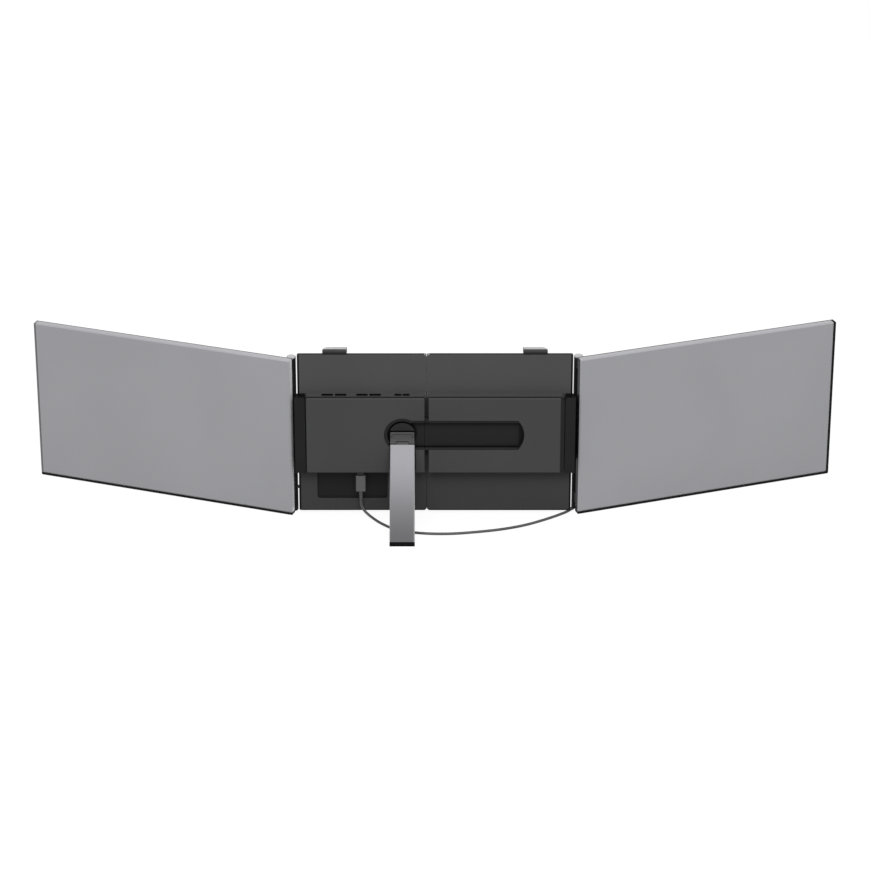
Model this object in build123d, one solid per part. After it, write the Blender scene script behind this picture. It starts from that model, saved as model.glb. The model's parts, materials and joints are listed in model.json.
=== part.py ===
from build123d import *
import math
import os

os.makedirs("parts", exist_ok=True)

# Laptop screen extender: a two-half bracket that slides apart in X and carries a folding
# screen wing on each side. Sizes in mm. z = 0 is the table, +Y points to the laptop lid.

# ---- clearances ----
seat_gap = 0.1        # fixed piece in its seat
body_gap = 0.3        # between pieces that move against each other
pin_gap = 0.05        # pin in its bore, radial
past = 1.0            # how far a cutting shape reaches past the solid

# ---- bracket ----
plate_back_y = -10.0  # back face of both bracket plates
plate_bottom_z = 3.6
plate_above_wing = 4.5
half_width = 149.9    # from the middle to the outer edge of a plate
seam_x = -9.1         # where the two plates meet
seam_gap = 0.5
plate_wall = 1.4
plate_depth = 4.5
plate_corner_r = 1.6
seam_notch = 2.0      # depth of the notch at the seam's ends
seam_tongue = 1.0     # strip behind the seam, on the right plate
seam_tongue_reach = 2.5
seam_tongue_root = 3.0
panel_inset = 2.0     # front panel stands inside the plate outline
panel_depth = 3.5
panel_skin = 1.4
pad_depth = 0.8
pad_width = 9.0
pad_corner_r = 4.3
slide_travel = 60.0
sheet_depth = 3.6
sheet_thickness = 1.2
sheet_kept = 23.5     # sheet left in the guides when fully drawn out
sheet_right_x = 60.0
sheet_bottom_z = 14.0
sheet_top_drop = 15.5
guide_depth = (1.5, 6.5)
guide_back = 2.4      # guide behind the sheet's edge
guide_bite = 3.5      # guide over the sheet's edge
guide_seam = 3.5

# ---- raised housing ----
housing_bottom_z = 54.9
housing_height = 91.3
housing_side_left = 8.7    # from the plate's outer edge
housing_side_right = 8.4
seam_cover_left_x = -11.5
seam_cover_right_x = -6.8
housing_depth = 10.9
housing_wall = 1.8
cover_depth = 1.7
cover_inset = 0.5
cover_edge = 0.7
corner_r = {-1: 3.0, 1: 6.0}
end_bevel_width = 6.0
end_bevel_depth = 1.0

# ---- kickstand ----
pivot_x = -35.7
pivot_z = 100.9
pocket_r = 18.9       # where the hinge's ears swing
rim_r = 16.5          # the rest of the turntable's opening
rim_end = 4.6         # the narrower part ends where x - z is this much past the swivel axis
rim_step = 0.6        # sunk border round the pocket and along the recess's top
rim_step_r = 20.0
rim_step_rise = 2.8
flange_gap = 0.6
disc_r = 14.4
disc_boss_r = 6.0
half_moon_depth = 11.8     # from the plate back face
half_moon_rise = 5.2       # flat side above the swivel axis
hinge_block_depth = 12.2
hinge_block_rise = 3.5
hinge_block_half = 13.2
block_corner_r = 1.2
block_panel_side = 1.6      # outline sunk in the block, from its edges
block_panel_rise = 2.5
block_panel_depth = 0.4
block_panel_r = 1.5
block_line = 0.5
block_edge = 0.4
stand_pin_inset = 0.4
tilt_drop = 10.0      # from the swivel axis down to the tilt axis
tilt_depth = 9.9      # from the plate back face out to the tilt axis
leg_lean = 37.2       # degrees off upright when open
leg_top_width = 26.8
leg_foot_width = 27.6
leg_thickness = 4.4
leg_skin = 1.6
knuckle_r = 2.2
knuckle_half = 6.5
skin_start = 2.6      # the leg's outer skin starts this far below the tilt axis
neck_length = 16.0
leg_edge = 0.7
stand_pin_r = 1.0
foot_length = 3.2
recess_depth = 6.7
recess_floor = 1.2
channel_half = 14.4
stow_bottom_z = 83.4
stow_height = 35.0
stow_end_x = 97.4
stow_end_sag = 6.7
retainer_r = 9.5
retainer_depth = 1.2

# ---- hinges ----
hinge_reach = 6.3     # from the plate's outer edge to the hinge axis
left_hinge_depth = 7.2     # from the plate back face to the hinge axis
right_hinge_depth = 12.9
barrel_r = 5.0
hinge_pin_r = 1.9
arm_web_reach = 1.6        # outer side of the arm's web, from the plate's outer edge
arm_lip_reach = 3.1
arm_face_depth = 11.5
arm_lip_depth = 4.0
web_half_height = 38.0
web_notch = 2.9
web_past_axis = 2.0
arm_gap = 0.4
arm_top_drop = 0.6
arm_notch = 1.6
foot_bottom_z = 1.0
foot_top_z = 10.0
lower_knuckle_top_z = 22.0
upper_knuckle_drop = 15.0
cap_height = 1.6
cap_edge = 0.9
foot_chamfer = 0.8
foot_pin_floor = 2.0
lower_pin_top_z = 40.0
upper_pin_drop = 35.0
bracket_half = 3.6

# ---- screen wings ----
wing_angle = 19.9     # lead of the open wings towards the laptop user, degrees
wing_width = 306.6
wing_height = 187.0
wing_depth = 8.0
wing_lip = 3.1        # dark frame showing below the metal cover
side_lip = {-1: 0.0, 1: 3.1}    # and beside it, at the right wing's outer side only
screen_shift = 1.55   # screen towards the hinge, from the wing's middle
lip_setback = 1.0
tray_depth = 6.6
tray_wall = 1.2
tray_back = 1.0
tray_edge_width = 1.45
tray_edge_depth = 1.0
wing_corner_r = 1.5
axis_inset = {-1: 3.3, 1: 4.1}      # hinge axis from the wing's inner end
axis_standoff = {-1: 5.3, 1: 8.0}   # hinge axis in front of the wing's screen face
wing_cap_drop = {-1: 0.0, 1: 1.5}
bezel_side = 4.85
bezel_low = 12.4
bezel_high = 9.4
glass_border = (2.6, 3.4)       # glass past the picture area, sideways and upwards
glass_depth = 0.9
module_border = (2.85, 3.4)
panel_thickness = 3.0
board_thickness = 1.6
board_x = (20.0, 110.0)
board_z = (10.0, 44.0)
chip_height = 0.5
board_chips = (    # x, z, width, height
    (10.0, 8.0, 14.0, 14.0), (34.0, 10.0, 9.0, 9.0), (56.0, 6.0, 18.0, 6.0), (58.0, 18.0, 12.0, 8.0),
)
button_length = 9.0
button_width = 2.6
button_travel = 0.6
button_proud = 0.7
button_pitch = 16.0
button_drop = 37.0    # from the wing's top to the upper key's middle
button_gap = 0.25
button_length_in = 2.5
button_mid_y = 4.0
button_edge = 0.4

# ---- hooks ----
hook_side = 40.9      # from the plate's outer edge to the hook's middle
hook_width = 26.5
hook_rise = 6.4
hook_flat = 5.4
hook_near_depth = 0.6
hook_slope = 27.0
hook_lid_slot = 7.5
hook_tip = 2.0
hook_claw = 2.2
hook_wing_room = 0.2
hook_edge = 2.0
hook_taper = 4.5
hook_taper_start = 1.2
hook_strap = 1.4
hook_strap_depth = 1.7
hook_strap_kept = 34.0     # strap left in the plate when the hook is drawn up
hook_travel = 10.0
strap_width = 22.0

# ---- ports and cable ----
usb_a_x = (-117.25, -102.65, -79.45, -65.1)
usb_c_x = (-40.25, -31.65)
port_axis_depth = 6.0
usb_a_mouth = (12.2, 4.7)
usb_c_mouth = (8.0, 2.8)
port_shell = 0.35
usb_a_length = 14.0
usb_c_length = 8.0
port_bay = (-129.6, -52.3, 18.6)    # left, right, bottom
bay_depth = 2.2
bay_corner_r = 3.0
plug_x = -81.7
plug_body = (10.8, 6.4, 19.0)
plug_tip = (8.3, 2.5, 6.6)
plug_gap = 5.3        # from the housing's lower edge to the plug body
plug_corner_r = 1.6
plug_edge = 0.6
plug_tip_r = 1.15
plug_room = 0.4       # port mouth over the tip
plug_hole_room = 1.0  # hole in the housing over the tip
relief_length = 10.6
cable_d = 3.0
sleeve_d = 3.6
sleeve_z = 31.6
sleeve_bore_r = 1.2
sleeve_reach = 1.2     # past the barrel's inner side
relief_top_r = 2.2
relief_end_r = 1.7
usb_tongue = (9.6, 1.8)
usb_tongue_back = 4.6
usb_insulator = 3.0
tongue_root = 0.5
usb_c_tongue = (6.2, 0.7)
usb_c_tongue_back = 1.0
plug_port_length = 9.0
grommet_length = 2.4
grommet_r = 2.0
grommet_z = 2.35

# ---- fixings ----
screw_r = 1.1
screw_head_r = 2.1
screw_head_depth = 1.2
screw_slot = 0.5
screw_slot_length = 2.5
screw_slot_depth = 0.5
panel_boss_r = 2.6
panel_boss_seam = 16.0
panel_boss_side = 8.4
panel_boss_low_z = 9.0
panel_boss_drop = 5.9
sheet_screw_x = (22.0, 50.0)
sheet_screw_z = (40.0, 150.0)
lid_pad_x = (40.0, 84.0)
pad_low_z = 40.0
pad_top_drop = 31.5
bay_wall = 1.0
hub_side = 5.2        # hub board from the housing's outer side
hub_right_x = -20.0
hub_above_bottom = 7.1
hub_below_top = 9.2
hub_board_depth = 1.5
hub_thickness = 1.6
hub_post_side = 4.0
hub_post_right_x = -62.0
hub_post_low = 4.0
hub_post_drop = 25.0
hub_post_r = 2.4
hub_post_tip = 0.6
hub_hole_room = 1.5
hub_chip_height = 1.2
hub_chips = ((26.0, 22.0, 16.0, 16.0), (52.0, 28.0, 12.0, 12.0), (40.0, 10.0, 8.0, 6.0))


def block(x0, x1, y0, y1, z0, z1):
    """Box between two corners."""
    size = (x1 - x0, y1 - y0, z1 - z0)
    middle = ((x0 + x1) / 2, (y0 + y1) / 2, (z0 + z1) / 2)
    return Pos(*middle) * Box(*size)


def from_plate(depth):
    """Row y of a point that stands this far out from the plates' back face, towards the camera."""
    return plate_back_y - depth


def prism_xz(sketch, y0, y1):
    """Extrude a sketch drawn in XZ from y0 to y1."""
    return extrude(Plane.XZ.offset(-y1) * sketch, y1 - y0)


def rounded_slab(x0, x1, z0, z1, y0, y1, radii):
    """Slab facing Y; radii are for its corners: bottom left, bottom right, top right, top left."""
    solid = block(x0, x1, y0, y1, z0, z1)
    corners = ((x0, z0), (x1, z0), (x1, z1), (x0, z1))
    for (cx, cz), r in zip(corners, radii):
        if r > 0:
            edge = [
                e for e in solid.edges().filter_by(Axis.Y)
                if abs(e.center().X - cx) < 1e-4 and abs(e.center().Z - cz) < 1e-4
            ]
            solid = fillet(edge, r)
    return solid


def turned(radius, z0, z1, x=0.0, y=0.0):
    """Upright cylinder."""
    return Pos(x, y, (z0 + z1) / 2) * Cylinder(radius, z1 - z0)


def turned_y(radius, y0, y1, x, z):
    """Cylinder along Y."""
    return Pos(x, (y0 + y1) / 2, z) * Rot(90, 0, 0) * Cylinder(radius, y1 - y0)


def turned_x(radius, x0, x1, y, z):
    """Cylinder along X."""
    return Pos((x0 + x1) / 2, y, z) * Rot(0, 90, 0) * Cylinder(radius, x1 - x0)


def save(name, *solids):
    """Write one node; its solids stay separate."""
    pieces = [piece for shape in solids for piece in shape.solids()]
    export_step(Compound(pieces), f"parts/{name}.step")


# ---- values worked out from the ones above ----
plate_top_z = wing_height + plate_above_wing
plate_height = plate_top_z - plate_bottom_z
housing_top_z = housing_bottom_z + housing_height
panel_front_y = plate_back_y + plate_depth + panel_depth
housing_face_y = from_plate(housing_depth)
cover_face_y = from_plate(housing_depth + cover_depth)
recess_floor_y = cover_face_y + recess_depth
tilt_z = pivot_z - tilt_drop
tilt_y = from_plate(tilt_depth)
housing_left_x = -half_width + housing_side_left
housing_right_x = half_width - housing_side_right
hinge_x = half_width + hinge_reach
hook_x = half_width - hook_side
arm_web_x = half_width + arm_web_reach
hinge_depth = {-1: left_hinge_depth, 1: right_hinge_depth}
side_name = {-1: "left", 1: "right"}
housing_x = {-1: (housing_left_x, seam_cover_left_x), 1: (seam_cover_right_x, housing_right_x)}
strap_y = plate_back_y + hook_strap_depth
strap_low_z = plate_top_z - hook_travel - hook_strap_kept
sheet_left_x = seam_x - slide_travel - sheet_kept
leg_length = tilt_z / math.cos(math.radians(leg_lean))
button_places = (wing_height - button_drop, wing_height - button_drop - button_pitch)
wing_cap_z = {side: wing_height - wing_cap_drop[side] for side in (-1, 1)}
upper_knuckle_bottom_z = wing_height - upper_knuckle_drop
upper_pin_low_z = wing_height - upper_pin_drop
active_width = wing_width - 2 * (screen_shift + bezel_side)
active_height = wing_height - bezel_low - bezel_high
screen_mid_z = bezel_low + active_height / 2
glass_width = active_width + 2 * glass_border[0]
glass_height = active_height + 2 * glass_border[1]
sheet_top_z = plate_top_z - sheet_top_drop
hub_left_x = housing_left_x + hub_side
hub_low_z = housing_bottom_z + hub_above_bottom
hub_high_z = housing_top_z - hub_below_top
hub_post_x = (hub_left_x + hub_post_side, hub_post_right_x)
hub_posts = [(x, z) for x in hub_post_x for z in (hub_low_z + hub_post_low, hub_high_z - hub_post_drop)]
glass_seat_y = wing_depth - glass_depth - seat_gap
sheet_y = plate_back_y + sheet_depth

# Cable route: down from the plug, over the table behind the leg, up to the right hinge foot.
cable_lay_z = cable_d / 2
port_y = from_plate(port_axis_depth)
cable_route = [
    (plug_x, port_y, 20.0), (plug_x, port_y, 14.0), (-79.3, -17.0, 8.3),
    (-74.6, -20.0, 4.1), (-68.4, -26.4, 1.9), (-60.0, -38.0, cable_lay_z), (-45.0, -53.0, cable_lay_z),
    (-18.0, -63.0, cable_lay_z), (16.0, -64.5, cable_lay_z), (46.0, -59.5, cable_lay_z),
    (74.0, -53.0, cable_lay_z), (100.0, -42.5, cable_lay_z), (122.0, -28.5, cable_lay_z),
    (138.0, -16.5, cable_lay_z), (148.0, -7.8, cable_lay_z + 0.1),
]


# ---- bracket halves ----
def plate_span(side):
    """Lowest and highest x of a plate."""
    inner = seam_x + side * seam_gap / 2
    return min(inner, side * half_width), max(inner, side * half_width)


def mirrored_corners(side, outer_r, inner_r=0.0):
    """Corner radii in the order bottom left, bottom right, top right, top left."""
    if side > 0:
        return (inner_r, outer_r, outer_r, inner_r)
    return (outer_r, inner_r, inner_r, outer_r)


def boss_places(side):
    """Screw posts of the front panel."""
    x_near = seam_x + side * panel_boss_seam
    x_far = side * (half_width - panel_boss_side)
    return [(x, z) for x in (x_near, x_far) for z in (panel_boss_low_z, plate_top_z - panel_boss_drop)]


def sheet_places():
    """Screws that hold the slide sheet to the right plate."""
    return [(x, z) for x in sheet_screw_x for z in sheet_screw_z]


def hook_slot(side, gap):
    """Room for a hook's strap."""
    half = strap_width / 2 + gap
    y0 = strap_y - gap
    y1 = strap_y + hook_strap + gap
    return block(side * hook_x - half, side * hook_x + half, y0, y1, strap_low_z - gap, plate_top_z + past)


def web_slot(side, gap):
    """Room for the hinge arm's web at the plate's outer side."""
    x_in = side * (half_width - web_notch - gap)
    x_out = side * (half_width + past)
    z_mid = housing_bottom_z + housing_height / 2
    low = z_mid - web_half_height - gap
    high = z_mid + web_half_height + gap
    return block(min(x_in, x_out), max(x_in, x_out), plate_back_y - past, panel_front_y + past, low, high)


def port_bay_slab(grow, y0, y1):
    """The sunken bay around the plug; grow widens it at its sides and bottom."""
    left, right, bottom = port_bay
    radii = (bay_corner_r + grow, bay_corner_r + grow, 0, 0)
    top = housing_bottom_z + housing_wall
    return rounded_slab(left - grow, right + grow, bottom - grow, top + grow, y0, y1, radii)


def bracket_plate(side):
    """Back shell of one bracket half, open to the lid side and at the seam."""
    x0, x1 = plate_span(side)
    y0 = plate_back_y
    y1 = y0 + plate_depth
    radii = mirrored_corners(side, plate_corner_r)
    shell = rounded_slab(x0, x1, plate_bottom_z, plate_top_z, y0, y1, radii)
    x_seam = x1 if side < 0 else x0
    notch_side = seam_notch * math.sqrt(2)
    for z in (plate_bottom_z, plate_top_z):
        notch = Rot(0, 45, 0) * Box(notch_side, plate_depth + past, notch_side)
        shell -= Pos(x_seam, (y0 + y1) / 2, z) * notch
    in0 = x0 + plate_wall if side < 0 else x0 - 1
    in1 = x1 + 1 if side < 0 else x1 - plate_wall
    low = plate_bottom_z + plate_wall
    shell -= block(in0, in1, y0 + plate_wall, y1 + past, low, plate_top_z - plate_wall)
    for x, z in boss_places(side):
        shell += turned_y(panel_boss_r, y0 + plate_wall, y1, x, z)
        shell -= turned_y(screw_r + seat_gap, y0 + plate_wall, y1 + past, x, z)
    if side > 0:
        for x, z in sheet_places():
            shell += turned_y(panel_boss_r, y0 + plate_wall, sheet_y, x, z)
            shell -= turned_y(screw_r + seat_gap, y0 + plate_wall, sheet_y + past, x, z)
        shell += seam_strip()
    else:
        shell += port_bay_slab(bay_wall, y0 + plate_wall, y0 + bay_depth + bay_wall)
        shell -= port_bay_slab(0, y0 - past, y0 + bay_depth)
    shell -= hook_slot(side, body_gap)
    shell -= web_slot(side, seat_gap)
    return shell


def seam_strip():
    """Strip that reaches from the right plate behind the left one and closes the seam."""
    edge = plate_span(1)[0]
    back = plate_back_y + plate_wall
    front = back + body_gap + seam_tongue
    clear = max(plate_wall + body_gap, seam_notch)
    low = plate_bottom_z + clear
    high = plate_top_z - clear
    root = block(edge, edge + seam_tongue_root, back, front, low, high)
    return root + block(seam_x - seam_tongue_reach, edge, back + body_gap, front, low, high)


def front_panel(side):
    """Lid-side cover of one bracket half, a shallow tray inside the plate's outline."""
    x0, x1 = plate_span(side)
    if side < 0:
        x0 += panel_inset
    else:
        x1 -= panel_inset
    z0 = plate_bottom_z + panel_inset
    z1 = plate_top_z - panel_inset
    y0 = plate_back_y + plate_depth
    y1 = panel_front_y
    panel = rounded_slab(x0, x1, z0, z1, y0, y1, mirrored_corners(side, plate_corner_r))
    in0 = x0 + panel_skin if side < 0 else x0 - 1
    in1 = x1 + 1 if side < 0 else x1 - panel_skin
    panel -= block(in0, in1, y0 - past, y1 - panel_skin, z0 + panel_skin, z1 - panel_skin)
    for x, z in boss_places(side):
        panel += turned_y(panel_boss_r, y0, y1 - panel_skin, x, z)
        panel -= turned_y(screw_r + seat_gap, y0 - past, y1 + past, x, z)
        panel -= turned_y(screw_head_r + seat_gap, y1 - screw_head_depth - seat_gap, y1 + past, x, z)
    panel -= web_slot(side, seat_gap)
    return panel


def panel_screws(side):
    """Four flat-headed screws of the front panel."""
    tip_y = plate_back_y + plate_wall + body_gap
    head_y = panel_front_y - screw_head_depth
    face_y = panel_front_y - seat_gap
    screws = []
    for x, z in boss_places(side):
        head = turned_y(screw_head_r, head_y, face_y, x, z)
        shank = turned_y(screw_r, tip_y, head_y, x, z)
        screws.append(head + shank - cross_slot(x, face_y, z))
    return screws


def cross_slot(x, y, z):
    """Cross recess in a screw head whose face is at y."""
    bar = Box(screw_slot_length, screw_slot_depth * 2, screw_slot)
    return Pos(x, y, z) * (bar + Rot(0, 90, 0) * bar)


def lid_pads(side):
    """Soft strips that the laptop lid rests on."""
    pads = []
    for x in lid_pad_x:
        centre = side * x
        pads.append(rounded_slab(
            centre - pad_width / 2, centre + pad_width / 2, pad_low_z, plate_top_z - pad_top_drop,
            panel_front_y, panel_front_y + pad_depth, (pad_corner_r,) * 4,
        ))
    return pads


# ---- raised housing ----
def tub(grow, y0, y1):
    """Outline shared by the kickstand's pocket, its stowage recess and its relief channel."""
    shape = turned_y(pocket_r + grow, y0, y1, pivot_x, pivot_z)
    stow_r = stow_height / 2 + grow
    z_mid = stow_bottom_z + stow_height / 2
    straight_end = stow_end_x - stow_end_sag
    stow = block(pivot_x, straight_end, y0, y1, z_mid - stow_r, z_mid + stow_r)
    end_r = (stow_height ** 2 / 4 + stow_end_sag ** 2) / (2 * stow_end_sag)
    end = turned_y(end_r + grow, y0, y1, stow_end_x - end_r, z_mid)
    end &= block(straight_end - past, stow_end_x + grow + past, y0, y1, z_mid - stow_r, z_mid + stow_r)
    half = channel_half + grow
    channel = block(pivot_x - half, pivot_x + half, y0, y1, housing_bottom_z - past, pivot_z)
    return shape + stow + end + channel


def kept_rim(y0, y1):
    """Part of the tub's outline that stays solid: beside the turntable and above the recess."""
    span = 2 * pocket_r
    low = Polyline(
        (pivot_x - span, pivot_z - span + rim_end), (pivot_x + span, pivot_z + span + rim_end),
        (pivot_x - span, pivot_z + span + rim_end), close=True,
    )
    upper_left = extrude(Plane.XZ.offset(-y1) * make_face(low), y1 - y0)
    rim = turned_y(pocket_r + past, y0, y1, pivot_x, pivot_z) & upper_left
    top_z = stow_bottom_z + stow_height
    rim += block(pivot_x, stow_end_x + past, y0, y1, top_z - rim_step_rise, top_z + past)
    return rim - turned_y(rim_r, y0 - past, y1 + past, pivot_x, pivot_z)


def housing(side):
    """Wall of the raised box, open towards the plate and closed by its cover."""
    x0, x1 = housing_x[side]
    z0 = housing_bottom_z
    z1 = housing_top_z
    y0 = housing_face_y
    y1 = plate_back_y
    wall = rounded_slab(x0, x1, z0, z1, y0, y1, mirrored_corners(side, corner_r[side]))
    wall -= rounded_slab(
        x0 + housing_wall, x1 - housing_wall, z0 + housing_wall, z1 - housing_wall, y0 - past, y1 + past,
        mirrored_corners(side, corner_r[side] - housing_wall),
    )
    wall -= tub(recess_floor + seat_gap, y0 - past, recess_floor_y + recess_floor + seat_gap)
    if side < 0:
        for x in usb_a_x:
            wall -= port_hole(x, usb_a_mouth, z1)
        for x in usb_c_x:
            wall -= port_hole(x, usb_c_mouth, z1)
        wall -= port_hole(plug_x, (plug_tip[0] + plug_hole_room, plug_tip[1] + plug_hole_room), z0)
    return wall


def port_hole(x, mouth, z):
    """Cut for one socket in the housing's top or bottom wall."""
    y = port_y
    return Pos(x, y, z) * Box(mouth[0], mouth[1], 3 * housing_wall)


def cover(side):
    """Face plate of the raised box with its part of the kickstand's tub moulded in."""
    x0, x1 = housing_x[side]
    if side < 0:
        x0 += cover_inset
    else:
        x1 -= cover_inset
    z0 = housing_bottom_z + cover_inset
    z1 = housing_top_z - cover_inset
    y0 = cover_face_y
    y1 = housing_face_y
    plate = rounded_slab(x0, x1, z0, z1, y0, y1, mirrored_corners(side, corner_r[side] - cover_inset))
    face = plate.faces().sort_by(Axis.Y)[0]
    plate = chamfer([e for e in face.edges() if abs(e.center().X - seam_side_x(side)) > 0.01], cover_edge)
    if side > 0:
        wedge = Polyline(
            (x1 - end_bevel_width, y0), (x1 + past, y0 + end_bevel_depth * (1 + past / end_bevel_width)),
            (x1 + past, y0), close=True,
        )
        plate -= extrude(Plane.XY.offset(z0) * make_face(wedge), z1 - z0)
    lining = tub(recess_floor, y1, recess_floor_y + recess_floor)
    lining_x0 = x0 + housing_wall if side < 0 else seam_cover_left_x + body_gap
    lining_x1 = x1 if side < 0 else x1 - housing_wall
    room = block(lining_x0, lining_x1, y1 - past, plate_back_y, z0, housing_top_z - housing_wall)
    plate += lining & room
    plate -= tub(0, y0 - past, recess_floor_y) - kept_rim(y0 + rim_step, recess_floor_y + past)
    if side < 0:
        plate -= turned_y(rim_step_r, y0 - past, y0 + rim_step, pivot_x, pivot_z)
        floor_back = recess_floor_y + recess_floor + past
        plate -= turned_y(disc_boss_r + body_gap, recess_floor_y - past, floor_back, pivot_x, pivot_z)
    return plate


def seam_side_x(side):
    """x of a cover's edge at the seam."""
    return housing_x[side][1] if side < 0 else housing_x[side][0]


# ---- hinges ----
def hinge_y(side):
    return plate_back_y + hinge_depth[side]


def hinge_arm(side):
    """Cast arm from the housing's end round the plate's side to the hinge barrel."""
    near = from_plate(arm_face_depth)
    x_in = (housing_right_x if side > 0 else -housing_left_x) + arm_gap
    z0 = housing_bottom_z
    z1 = housing_top_z - arm_top_drop
    z_mid = housing_bottom_z + housing_height / 2
    body = block(x_in, arm_web_x, near, plate_back_y - seat_gap, z0, z1)
    body += block(arm_web_x - past, half_width + arm_lip_reach, near, near + arm_lip_depth, z0, z1)
    web_low = z_mid - web_half_height
    web_high = z_mid + web_half_height
    web_in = half_width - web_notch
    body += block(web_in, arm_web_x, plate_back_y - past, panel_front_y, web_low, web_high)
    thin_in = half_width + seat_gap
    body += block(thin_in, arm_web_x, plate_back_y, hinge_y(side) + web_past_axis, web_low, web_high)
    for z in (z0, z1):
        body -= block(
            x_in - past, x_in + arm_notch, near - past, near + arm_notch, z - arm_notch, z + arm_notch,
        )
    if side < 0:
        body = mirror(body, about=Plane.YZ)
    x = side * hinge_x
    return body - turned(barrel_r + seat_gap / 2, web_low - past, web_high + past, x, hinge_y(side))


def hinge_barrel(side):
    """Fixed barrel between the wing's two knuckles, bored at both ends for the pins."""
    x = side * hinge_x
    y = hinge_y(side)
    low = lower_knuckle_top_z + body_gap
    high = upper_knuckle_bottom_z - body_gap
    barrel = turned(barrel_r, low, high, x, y)
    barrel -= turned(hinge_pin_r + pin_gap, low - past, lower_pin_top_z + body_gap, x, y)
    barrel -= turned(hinge_pin_r + pin_gap, upper_pin_low_z - body_gap, high + past, x, y)
    return barrel


def hinge_foot(side):
    """Fixed end piece under the wing's lower knuckle."""
    x = side * hinge_x
    y = hinge_y(side)
    foot = turned(barrel_r, foot_bottom_z, foot_top_z, x, y)
    foot = chamfer(foot.edges().sort_by(Axis.Z)[0], foot_chamfer)
    return foot - turned(hinge_pin_r + pin_gap, foot_bottom_z + foot_pin_floor, foot_top_z + past, x, y)


def hinge_pins(side):
    """Lower and upper steel pins on the hinge axis."""
    x = side * hinge_x
    y = hinge_y(side)
    low = turned(hinge_pin_r, foot_bottom_z + foot_pin_floor + seat_gap, lower_pin_top_z, x, y)
    high = turned(hinge_pin_r, upper_pin_low_z, wing_cap_z[side] - cap_height - body_gap, x, y)
    return [low, high]


# ---- screen wings, drawn flat: inner end at x = 0, back face at y = 0 ----
def to_wing(shape, side):
    """Carry a flat-drawn piece to its place on the open wing."""
    drawn = shape if side > 0 else mirror(shape, about=Plane.YZ)
    axis_x = side * axis_inset[side]
    axis_y = wing_depth + axis_standoff[side]
    hinge = Pos(side * hinge_x, hinge_y(side), 0)
    return hinge * Rot(0, 0, side * wing_angle) * Pos(-axis_x, -axis_y, 0) * drawn


def button_slot(z):
    """Room for a side button."""
    half_width = button_width / 2 + button_gap
    half_length = button_length / 2 + button_gap
    return block(
        wing_width - button_length_in, wing_width + past, button_mid_y - half_width,
        button_mid_y + half_width, z - half_length, z + half_length,
    )


def wing_cover(side):
    """Metal back tray."""
    x1 = wing_width - side_lip[side]
    tray = rounded_slab(0, x1, wing_lip, wing_height, 0, tray_depth, (wing_corner_r,) * 4)
    back = tray.faces().sort_by(Axis.Y)[0]
    tray = chamfer(back.edges(), tray_edge_width, tray_edge_depth, reference=back)
    low_z = wing_lip + tray_wall
    tray -= block(
        tray_wall, x1 - tray_wall, tray_back, tray_depth + past, low_z, wing_height - tray_wall,
    )
    for z in button_places:
        tray -= button_slot(z)
    return tray


def screen_frame(side):
    """Plastic front bezel with the lip that shows past the metal cover."""
    frame = rounded_slab(0, wing_width, 0, wing_height, tray_depth, wing_depth, (wing_corner_r,) * 4)
    lip_top = wing_lip - seat_gap
    frame += rounded_slab(
        0, wing_width, 0, lip_top, lip_setback, tray_depth, (wing_corner_r, wing_corner_r, 0, 0),
    )
    if side_lip[side] > seat_gap:
        lip_in = wing_width - side_lip[side] + seat_gap
        frame += rounded_slab(
            lip_in, wing_width, 0, wing_height, lip_setback, tray_depth,
            (0, wing_corner_r, wing_corner_r, 0),
        )
    frame -= screen_block(active_width, active_height, tray_depth - past, wing_depth + past)
    seat = (glass_width + 2 * seat_gap, glass_height + 2 * seat_gap)
    frame -= screen_block(*seat, glass_seat_y, wing_depth + past)
    for z in button_places:
        frame -= button_slot(z)
    return frame


def screen_block(width, height, y0, y1):
    """Slab centred on the screen."""
    x = wing_width / 2 - screen_shift
    return block(x - width / 2, x + width / 2, y0, y1, screen_mid_z - height / 2, screen_mid_z + height / 2)


def display_panel():
    """Display module behind the bezel."""
    y1 = tray_depth - seat_gap
    width = active_width + 2 * module_border[0]
    return screen_block(width, active_height + 2 * module_border[1], y1 - panel_thickness, y1)


def driver_board():
    """Circuit board with its larger chips, behind the display module."""
    y0 = tray_back + seat_gap
    x0, x1 = board_x
    z0, z1 = board_z
    board = block(x0, x1, y0, y0 + board_thickness, z0, z1)
    for x, z, w, h in board_chips:
        board += block(x0 + x, x0 + x + w, y0, y0 + board_thickness + chip_height, z0 + z, z0 + z + h)
    return board


def wing_button(z):
    """Side button in the outer edge."""
    x0 = wing_width - button_length_in + button_travel + seat_gap
    key = block(
        x0, wing_width + button_proud, button_mid_y - button_width / 2, button_mid_y + button_width / 2,
        z - button_length / 2, z + button_length / 2,
    )
    return fillet(key.faces().sort_by(Axis.X)[-1].edges(), button_edge)


def knuckle(side, z0, z1):
    """Knuckle with the foot that carries the wing."""
    x = axis_inset[side]
    y = wing_depth + axis_standoff[side]
    ring = turned(barrel_r, z0, z1, x, y)
    ring += block(x - bracket_half, x + bracket_half, wing_depth, y, z0, z1)
    return ring - turned(hinge_pin_r + pin_gap, z0 - past, z1 + past, x, y)


def hinge_brackets(side):
    """Lower and upper wing brackets."""
    low = knuckle(side, foot_top_z + body_gap, lower_knuckle_top_z)
    high = knuckle(side, upper_knuckle_bottom_z, wing_cap_z[side] - cap_height)
    return [low, high]


def hinge_cap(side):
    """Rounded cap on the upper knuckle."""
    x = axis_inset[side]
    y = wing_depth + axis_standoff[side]
    cap = turned(barrel_r, wing_cap_z[side] - cap_height, wing_cap_z[side], x, y)
    return fillet(cap.edges().sort_by(Axis.Z)[-1], cap_edge)


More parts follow.
